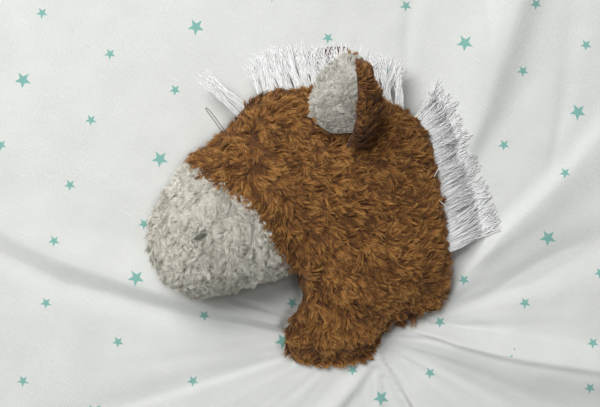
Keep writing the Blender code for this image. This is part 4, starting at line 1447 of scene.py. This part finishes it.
# %% Form of the ears
EAR_LENGTH = 42 * MM
EAR_WIDTH = 41 * MM
EAR_LAYER_THICKNESS = 2.6 * MM
EAR_EDGE_SHARE = 0.40
EAR_WIDTH_SHARES = np.array([0.72, 0.92, 1.00, 1.00, 0.90, 0.68, 0.30])[:, None]
LEFT_EAR_SECTION = 11.0
LEFT_EAR_ANGLE = math.radians(59)
LEFT_EAR_RISE = math.radians(26)
LEFT_EAR_LEAN = math.radians(10)
LEFT_EAR_ROLL = math.radians(-12)
LEFT_EAR_SEAT = 1.6 * MM
LEFT_EAR_CURL = math.radians(190)
LEFT_EAR_CURL_SHARE = 0.55
RIGHT_EAR_SECTION = 10.9
RIGHT_EAR_INSET = 16 * MM
RIGHT_EAR_RISE = math.radians(1.5)
RIGHT_EAR_WIDTH_SHARE = 0.80


def left_ear_frame():
    spots = head_frames(np.array([LEFT_EAR_SECTION]), np.array([LEFT_EAR_ANGLE]))
    point, normal = spots[0][0], spots[1][0]
    along = np.array([math.sin(LEFT_EAR_LEAN), math.cos(LEFT_EAR_LEAN), 0.0])
    across = unit(np.cross(along, normal))
    turn = Matrix(np.stack([across, along, np.cross(across, along)], axis=1).tolist())
    seat = Matrix.Translation(point + normal * LEFT_EAR_SEAT)
    return np.array(seat @ turn.to_4x4() @ Matrix.Rotation(LEFT_EAR_RISE, 4, "X"))


def right_ear_frame():
    edge = head_points(RIGHT_EAR_SECTION, 0.0)
    level = CLOTH_TOP + EAR_LAYER_THICKNESS + 2 * FIT_GAP
    seat = Matrix.Translation((edge[0], edge[1] - RIGHT_EAR_INSET, level))
    rise = Matrix.Rotation(RIGHT_EAR_RISE, 4, "X")
    return np.array(seat @ rise @ Matrix.Rotation(math.pi, 4, "Y"))


# The lining of the curled ear bulges, so it shades like a small cushion.
EAR_PUFF = 4 * MM
EAR_PUFF_SPAN = 0.62
EARS = {
    "left": (left_ear_frame(), EAR_WIDTH, LEFT_EAR_CURL, LEFT_EAR_CURL_SHARE, LEFT_EAR_ROLL),
    "right": (right_ear_frame(), EAR_WIDTH * RIGHT_EAR_WIDTH_SHARE, 1e-4, 0.5, 0.0),
}


def ear_points(ear, row, share, offset):
    """Points of an ear: row 0 to 6 from seat to tip, share 0 to 1 across, and an offset."""
    place, width, curl, curl_share, roll = EARS[ear]
    row, share, offset = np.broadcast_arrays(row, share, offset)
    across = width * smooth_rows(EAR_WIDTH_SHARES, np.clip(row, 0, 6))[..., 0]
    heading = curl * np.maximum(share - curl_share, 0) / (1 - curl_share)
    radius = across * (1 - curl_share) / curl
    x = across * np.minimum(share, curl_share) + radius * np.sin(heading)
    z = radius * (1 - np.cos(heading))
    widest = np.sin(min(curl, 0.5 * math.pi))
    x = x - 0.5 * (across * curl_share + radius * widest)
    dome = np.sin(np.pi * np.clip(share / EAR_PUFF_SPAN, 0, 1))
    dome = dome * np.sin(np.pi * np.clip(row / 6, 0, 1))
    offset = offset + EAR_PUFF * dome * (offset > 0.5 * MM) * (curl > 1)
    x, z = x - np.sin(heading) * offset, z + np.cos(heading) * offset
    twist = roll * ease(row / 6)
    y = EAR_LENGTH * row / 6
    local = np.stack(
        [x * np.cos(twist) + z * np.sin(twist), y, z * np.cos(twist) - x * np.sin(twist)], -1
    )
    return local @ place[:3, :3].T + place[:3, 3]


def ear_frames(ear, row, share, offset, outer_side):
    """Points of an ear's face, the way out of it and the way towards the tip."""

    def surface(on_row, on_share):
        return ear_points(ear, on_row, on_share, offset)

    along, across = slopes(surface, row, share, (0.02, 0.01))
    return surface(row, share), unit(np.cross(across, along)) * outer_side, unit(along)


LINING_DROP = 0.65
LINING_ROUND = 1.2
LINING_LOWEST = 0.32
LINING_END = 0.88


def ear_start(first_row, share):
    """Where a layer starts: the lining's lower end is round, and the back starts level."""
    if not first_row:
        return 0 * share
    off = np.abs(share - LINING_LOWEST) / LINING_LOWEST
    return first_row - LINING_DROP + LINING_ROUND * np.minimum(off, 1.2) ** 2.4


def ear_ground(ear, layer, outer_side, first_row, material, slot, rows=22, columns=40):
    """The knitted ground of one layer of an ear, thinner towards its edges."""
    stop = LINING_END if outer_side > 0 and ear == "left" else 1.0
    share = np.linspace(0, stop, columns)[None, :]
    start = ear_start(first_row, share)
    row = start + (6 - start) * np.linspace(0, 1, rows)[:, None]
    round_edge = np.minimum(share, stop - share) * 7
    round_end = np.minimum(row - start, 6 - row) * 0.9
    full = np.clip(EAR_EDGE_SHARE + np.minimum(round_edge, round_end), 0, 1)
    grids = []
    for depth in (0.1 * MM, EAR_LAYER_THICKNESS * 0.8):
        offset = outer_side * (0.5 * FIT_GAP + depth * full)
        grids.append(ear_points(ear, row, share, offset).reshape(-1, 3))
    name = f"ear_{ear}_{layer}"
    faces = slab_faces(rows, columns)
    piece = new_piece(name + "_ground", np.concatenate(grids), faces, material)
    dress(piece, slot, "ear_" + ear, name)


def ear_pile(ear, layer, outer_side, rows, count, pile, material, slot, seed):
    """Pile on one face of an ear between two rows. It is shorter by the edges."""
    generator = np.random.default_rng(seed)
    row = rows[0] + (rows[1] - rows[0]) * generator.random(count)
    share = generator.random(count)
    fits = generator.random(count) < smooth_rows(EAR_WIDTH_SHARES, row)[:, 0]
    at_edge = generator.random(count) < pile["edge_share"]
    share = np.where(at_edge, np.round(share) + (share - np.round(share)) * 0.08, share)
    if slot == "ear_lining":
        fits &= (row > ear_start(1, share)) & (share < LINING_END)
    elif outer_side > 0:
        fits &= row < ear_start(1, share) + 0.1
    row, share, at_edge = row[fits], share[fits], at_edge[fits]
    near = np.minimum(np.minimum(share, 1 - share) * 8, (6 - row) * 1.6)
    full = np.clip(EAR_EDGE_SHARE + near, 0, 1)
    scale = pile["edge_length"] + (1 - pile["edge_length"]) * (full - EAR_EDGE_SHARE) / (
        1 - EAR_EDGE_SHARE
    )
    offset = outer_side * 0.75 * EAR_LAYER_THICKNESS * full
    if rows[1] < 2:
        offset = offset * 0
    roots, normals, along = ear_frames(ear, row, share, offset, outer_side)
    side = np.cross(normals, along) * outer_side
    wander = noise_at(roots, 6 * MM, seed)[:, 0] * pile["wander"]
    lean = wander + (pile["spread"] * (share - 0.5) + pile["turn"])
    lean = np.where(at_edge, lean + 0.7 * np.sign(share - 0.5) * np.sign(pile["spread"]), lean)
    lies = along * np.cos(lean)[:, None] - side * np.sin(lean)[:, None]
    grown = grow_tufts(roots, normals, lies, pile, seed, scale)
    tuft_piece(f"ear_{ear}_{layer}_pile", grown, material, slot, "ear_" + ear)


EAR_BACK_PILE = dict(
    LONG_PILE, length=4.6 * MM, height=2.8 * MM, wander=0.6, spread=-1.0, turn=0.0,
    edge_share=0.1, edge_length=0.35, roundness=200 * MM,
)
EAR_ROOT_PILE = dict(EAR_BACK_PILE, length=3.8 * MM, height=1.8 * MM, spread=1.5, turn=math.pi)
EAR_LINING_PILE = dict(
    SHORT_PILE, length=2.9 * MM, height=1.3 * MM, wander=1.5, spread=1.4, turn=0.1,
    edge_share=0.06, edge_length=0.6,
)
# Root, cool, warm and tip, as for the other pile: painted shade at the root, partly painted
# highlight at the tip.
LININGS = (srgb(178, 173, 161), srgb(209, 205, 194), srgb(236, 232, 221), srgb(250, 247, 239))
lining_pile = pile_finish("lining_pile", *LININGS, 0.2)
lining_ground = ground_finish("lining_ground", srgb(200, 198, 190), srgb(226, 224, 216))
BROWN = (brown_pile, "brown_plush")
PALE = (lining_pile, "ear_lining")
# Tufts of the back and of the lining, and the last row of the back that has any.
EAR_TUFTS = {"left": (26000, 24000, 5.6), "right": (9000, 6000, 4.9)}
for ear, (backs, linings, last_row) in EAR_TUFTS.items():
    ear_ground(ear, "back", -1, 0, brown_ground, "brown_plush")
    ear_ground(ear, "lining", 1, 1, lining_ground, "ear_lining")
    ear_pile(ear, "back", -1, (0.05, last_row), backs, EAR_BACK_PILE, *BROWN, 21)
    ear_pile(ear, "lining", 1, (0.35, 5.98), linings, EAR_LINING_PILE, *PALE, 22)
    ear_pile(ear, "root", 1, (0.05, 1.7), 5000, EAR_ROOT_PILE, *BROWN, 23)

# %% [markdown]
# ## Mane
# The mane is cut yarn on a woven tape that is caught in the crest seam: a forelock over
# the brow, a crown between the ears and a long piece down the neck that falls on the
# blanket. The yarn is two-ply and shiny. Each strand is a tube whose oval section turns
# as it runs, which catches the light in small glints as real twisted yarn does.

# %% Woven tape in the seam
FORELOCK_SECTIONS = (8.2, 8.66)
CROWN_SECTIONS = (9.0, 12.5)
NECK_MANE_SECTIONS = (12.72, 15.4)
tape_finish, tape_shader = new_finish("woven_tape", Roughness=0.8, Sheen_Weight=0.1)
tape_place = place_on_piece(tape_finish)
tape_x, tape_y, _ = tape_place.parts()
rib = tape_x.maths("SINE", (tape_x + tape_y) * (2 * math.pi / (0.7 * MM))) * 0.5 + 0.5
feed(
    tape_finish,
    tape_shader,
    Base_Color=rib.mix(srgb(200, 200, 196), srgb(230, 230, 226)),
    Normal=bump(rib, 0.15 * MM),
)
TAPE_STEPS = 90
tape_section = np.linspace(FORELOCK_SECTIONS[0], NECK_MANE_SECTIONS[1], TAPE_STEPS)
tape_grids = []
tape_rims = (TAPE_STAND_OUT - TAPE_WIDTH, TAPE_STAND_OUT)
for lift in (0.5, -0.5):
    rims = [crest_points(tape_section, stand_out) for stand_out in tape_rims]
    grid = np.stack(rims, axis=1)
    grid[..., 2] += lift * TAPE_THICKNESS
    tape_grids.append(grid.reshape(-1, 3))
tape_faces = slab_faces(TAPE_STEPS, 2)
mane_tape = new_piece("mane_woven_tape", np.concatenate(tape_grids), tape_faces, tape_finish)
dress(mane_tape, "mane_tape", "head", "mane_tape")

# %% Yarn strands
YARN_RADIUS = 0.2 * MM
YARN_PITCH = 1.8 * MM
YARN_STEPS = 26
# Each row: share along the root, direction in degrees, length in millimetres.
FORELOCK_SHAPE = ((0.0, 140, 29), (0.5, 140, 32), (1.0, 141, 29))
CROWN_SHAPE = (
    (0.0, 104, 20), (0.1, 106, 24), (0.2, 103, 26), (0.35, 112, 25.5), (0.5, 108, 26),
    (0.65, 97, 26), (0.8, 89, 27), (1.0, 84, 26),
)
NECK_SHAPE = (
    (0.0, 50, 24.5), (0.15, 40, 23), (0.3, 32, 22), (0.5, 32, 23.5), (0.7, 31, 27),
    (0.85, 30, 30.5), (1.0, 29, 33),
)
yarn_finish, yarn_shader = new_finish(
    "white_yarn", Roughness=0.42, Sheen_Weight=0.15, Specular_IOR_Level=0.5
)
yarn_across, yarn_along = tuft_values(yarn_finish)
feed(
    yarn_finish,
    yarn_shader,
    Base_Color=yarn_across.mix(srgb(238, 239, 238), srgb(254, 254, 253)),
)


def table_between(table, share):
    rows = np.array(table, float)
    return [np.interp(share, rows[:, 0], rows[:, k]) for k in (1, 2)]


def fringe(name, sections, shape, count, per_clump, spread, gather, lift, fall, crowd, pad, seed):
    """Yarn strands along a stretch of the crest seam, in clumps that gather and fray.

    The spread is in degrees. Gather is how far a clump draws together, lift how far its
    strands arch, fall how far and how late they drop, crowd how unevenly the clumps stand,
    and pad how thick the strands lie on the cloth.
    """
    generator = np.random.default_rng(seed)
    clump = np.arange(count) // per_clump
    clumps = clump[-1] + 1
    share = (clump + generator.uniform(-0.15, 1.15, count)) / clumps
    share = share + crowd * np.sin(2 * np.pi * (share - 0.1))
    share = np.clip(share, 0, 1)
    degrees, length = table_between(shape, share)
    clump_turn = generator.normal(0, spread, clumps)[clump]
    angle = np.radians(degrees + clump_turn + generator.normal(0, spread, count))
    length = length * MM * generator.uniform(0.8, 1.08, clumps)[clump]
    length = length * generator.uniform(0.82, 1.06, count)
    roots = crest_points(sections[0] + (sections[1] - sections[0]) * share, TAPE_STAND_OUT)
    roots[:, 2] += generator.uniform(-0.7, 0.7, count) * MM
    along = np.linspace(0, 1, YARN_STEPS)[None, :, None]
    way = np.stack([np.cos(angle), np.sin(angle), 0 * angle], axis=1)[:, None]
    side = np.stack([-np.sin(angle), np.cos(angle), 0 * angle], axis=1)[:, None]
    bend = generator.normal(0, 0.018 * spread, clumps)[clump]
    bend = bend + generator.normal(0, 0.01 * spread, count)
    pace = generator.uniform(6, 20, (count, 1, 1))
    wave = 0.03 * np.sin(along * pace + generator.uniform(0, 6, (count, 1, 1))) * along
    swing = side * (bend[:, None, None] * along**2 + wave)
    paths = roots[:, None] + length[:, None, None] * (way * along + swing)
    middle = np.stack([paths[clump == k].mean(0) for k in range(clumps)])[clump]
    paths = paths + (middle - paths) * gather * np.sin(np.pi * 0.85 * along)
    layer = generator.uniform(0, 1, count)[:, None]
    arch = lift * np.sin(np.pi * along[..., 0] * 0.9) * generator.normal(0, 1, (count, 1))
    paths[..., 2] += arch * along[..., 0] - fall[0] * along[..., 0] ** fall[1]
    cloth = CLOTH_TOP + cloth_lift(paths[..., :2].reshape(-1, 2)).reshape(count, -1)
    floor = cloth + YARN_RADIUS * 1.6 + layer * pad
    paths[..., 2] = np.maximum(paths[..., 2], floor)
    radii = YARN_RADIUS * generator.uniform(0.8, 1.2, count)
    shades = np.clip(0.55 + generator.normal(0, 0.2, count), 0, 1)
    points, faces, places = tubes(paths, radii, 5, 0.32, YARN_PITCH, shades)
    return new_piece(name, points, faces, yarn_finish, places)


forelock = fringe(
    "forelock_yarn", FORELOCK_SECTIONS, FORELOCK_SHAPE, count=32, per_clump=32, spread=2.6,
    gather=0.3, lift=1.2 * MM, fall=(6 * MM, 1.7), crowd=0.0, pad=1.0 * MM, seed=31,
)
dress(forelock, "white_yarn", "forelock", "forelock")
crown = fringe(
    "crown_yarn", CROWN_SECTIONS, CROWN_SHAPE, count=560, per_clump=16, spread=8.5,
    gather=0.55, lift=1.0 * MM, fall=(3.5 * MM, 1.7), crowd=0.05, pad=1.0 * MM, seed=32,
)
dress(crown, "white_yarn", "head", "crown_fringe")
neck_mane = fringe(
    "neck_mane_yarn", NECK_MANE_SECTIONS, NECK_SHAPE, count=1200, per_clump=15, spread=4.0,
    gather=0.08, lift=0.5 * MM, fall=(22 * MM, 2.0), crowd=0.0, pad=1.4 * MM, seed=33,
)
dress(neck_mane, "white_yarn", "neck_mane", "neck_mane")

# %% [markdown]
# ## Loose threads
# A few threads have worked loose: two from the mane that lie beside the neck, and a thin
# loop that was missed when the brow was trimmed. Each is one thin tube along a smooth
# line through points read off the picture.

# %% Loose threads
LOOSE_THREAD_RADIUS = 0.2 * MM
MANE_THREADS = (
    ((441, 128, 26), (444, 140, 26), (444, 152, 25), (440, 165, 26), (434, 177, 27)),
    ((439, 200, 26), (446, 207, 25), (453, 214, 22), (458, 223, 19)),
)
BROW_LOOP = (
    (230, 137, 30), (222, 127, 28), (214, 116, 27), (208, 109, 26), (206, 108, 26),
    (207, 111, 26), (213, 119, 27), (220, 129, 28), (226, 139, 29),
)


def loose_thread(name, slot, lines, material):
    """Thin tubes through points given as pixel x, pixel y and height in millimetres."""
    paths = []
    for line in lines:
        rows = smooth_rows(line, np.linspace(0, len(line) - 1, 40))
        x, y = from_photo(rows[:, 0], rows[:, 1], rows[:, 2] * MM)
        paths.append(np.stack([x, y, rows[:, 2] * MM], axis=1))
    piece = new_piece(name, *tubes_of(np.array(paths), LOOSE_THREAD_RADIUS, 6, material))
    return dress(piece, slot)


# The mane's loose threads reach from the mane over its hinge to the neck.
mane_hinge = next(joint for joint in frame["joints"] if joint["name"] == "neck_mane_lift")
hinge_place = np.array(mane_hinge["pos_m"])
hinge_out = unit(np.array([-mane_hinge["axis"][1], mane_hinge["axis"][0], 0.0]))
mane_threads = loose_thread("loose_mane_threads", "white_yarn", MANE_THREADS, white_thread)
(hinge_place - hinge_out * MM).tolist()
(hinge_place + hinge_out * 6 * MM).tolist()
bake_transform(mane_threads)
brow_thread = thread_finish("brow_thread", srgb(72, 60, 47), srgb(112, 97, 80), 0.5)
brow_loop = loose_thread("loose_brow_loop", "dark_thread", [BROW_LOOP], brow_thread)
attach(brow_loop, "head")

# %% [markdown]
# ## Floor and light
# A wide soft light stands beyond the crest of the head, and the room's own light fills
# the shadows. Under both, a colour renders about as it is written. The floor is plain
# and pale, and only shows in views from the side. Away from the blanket it fades into
# white for the camera alone, so the background is white without more light on the toy.

# %% Floor, lamps and world
ROOM_STRENGTH = 0.27
FLOOR_NEAR = 0.4
FLOOR_FAR = 0.9
FLOOR_HALF = 4.0


def seen_directly(tree):
    """1 for rays from the camera, a mirror or glass, and 0 for the light between surfaces."""
    names = ("Is Camera Ray", "Is Glossy Ray", "Is Transmission Ray")
    camera_ray, glossy, through = (
        add_node(tree, "ShaderNodeLightPath", {}, {}, name) for name in names
    )
    return camera_ray.maths("MINIMUM", camera_ray + glossy + through, 1.0)


floor_finish, floor_shader = new_finish("plain_floor", Roughness=0.9)
floor_shader.inputs["Base Color"].default_value = (*srgb(244, 244, 242), 1.0)
floor_tree = floor_finish.node_tree
floor_x, floor_y, _ = place_on_piece(floor_finish).parts()
far = floor_x.maths("SQRT", floor_x * floor_x + floor_y * floor_y).clamped(FLOOR_NEAR, FLOOR_FAR)
white = add_node(floor_tree, "ShaderNodeEmission", {}, {"Color": (1, 1, 1)})
floor_look = add_node(
    floor_tree,
    "ShaderNodeMixShader",
    {},
    {0: seen_directly(floor_tree) * far, 1: Value(floor_tree, floor_shader.outputs[0]), 2: white},
)
floor_output = floor_tree.nodes["Material Output"]
floor_tree.links.new(floor_look.socket, floor_output.inputs["Surface"])
floor = new_piece(
    "floor",
    np.array([[-1, -1, 0], [1, -1, 0], [1, 1, 0], [-1, 1, 0]]) * FLOOR_HALF,
    np.array([[0, 1, 2, 3]]),
    floor_finish,
)
floor.location.z = -0.2 * MM

KEY_PLACE = (-0.42, 0.58, 0.99)
KEY_SIZE = 0.7
KEY_POWER = 11.5
key_data = bpy.data.lights.new("window", "AREA")
key_data.size = KEY_SIZE
key_data.energy = KEY_POWER
key = bpy.data.objects.new("window", key_data)
key.location = KEY_PLACE
key.rotation_euler = (Vector((*AIM, 0)) - Vector(KEY_PLACE)).to_track_quat("-Z", "Y").to_euler()
bpy.context.scene.collection.objects.link(key)

world = bpy.data.worlds.new("room")
bpy.context.scene.world = world
world.use_nodes = True
background = world.node_tree.nodes["Background"]
background.inputs["Color"].default_value = (0.97, 0.985, 1.0, 1.0)
strength = seen_directly(world.node_tree) * (1 - ROOM_STRENGTH) + ROOM_STRENGTH
world.node_tree.links.new(strength.socket, background.inputs["Strength"])
bpy.context.scene.view_settings.view_transform = "Standard"
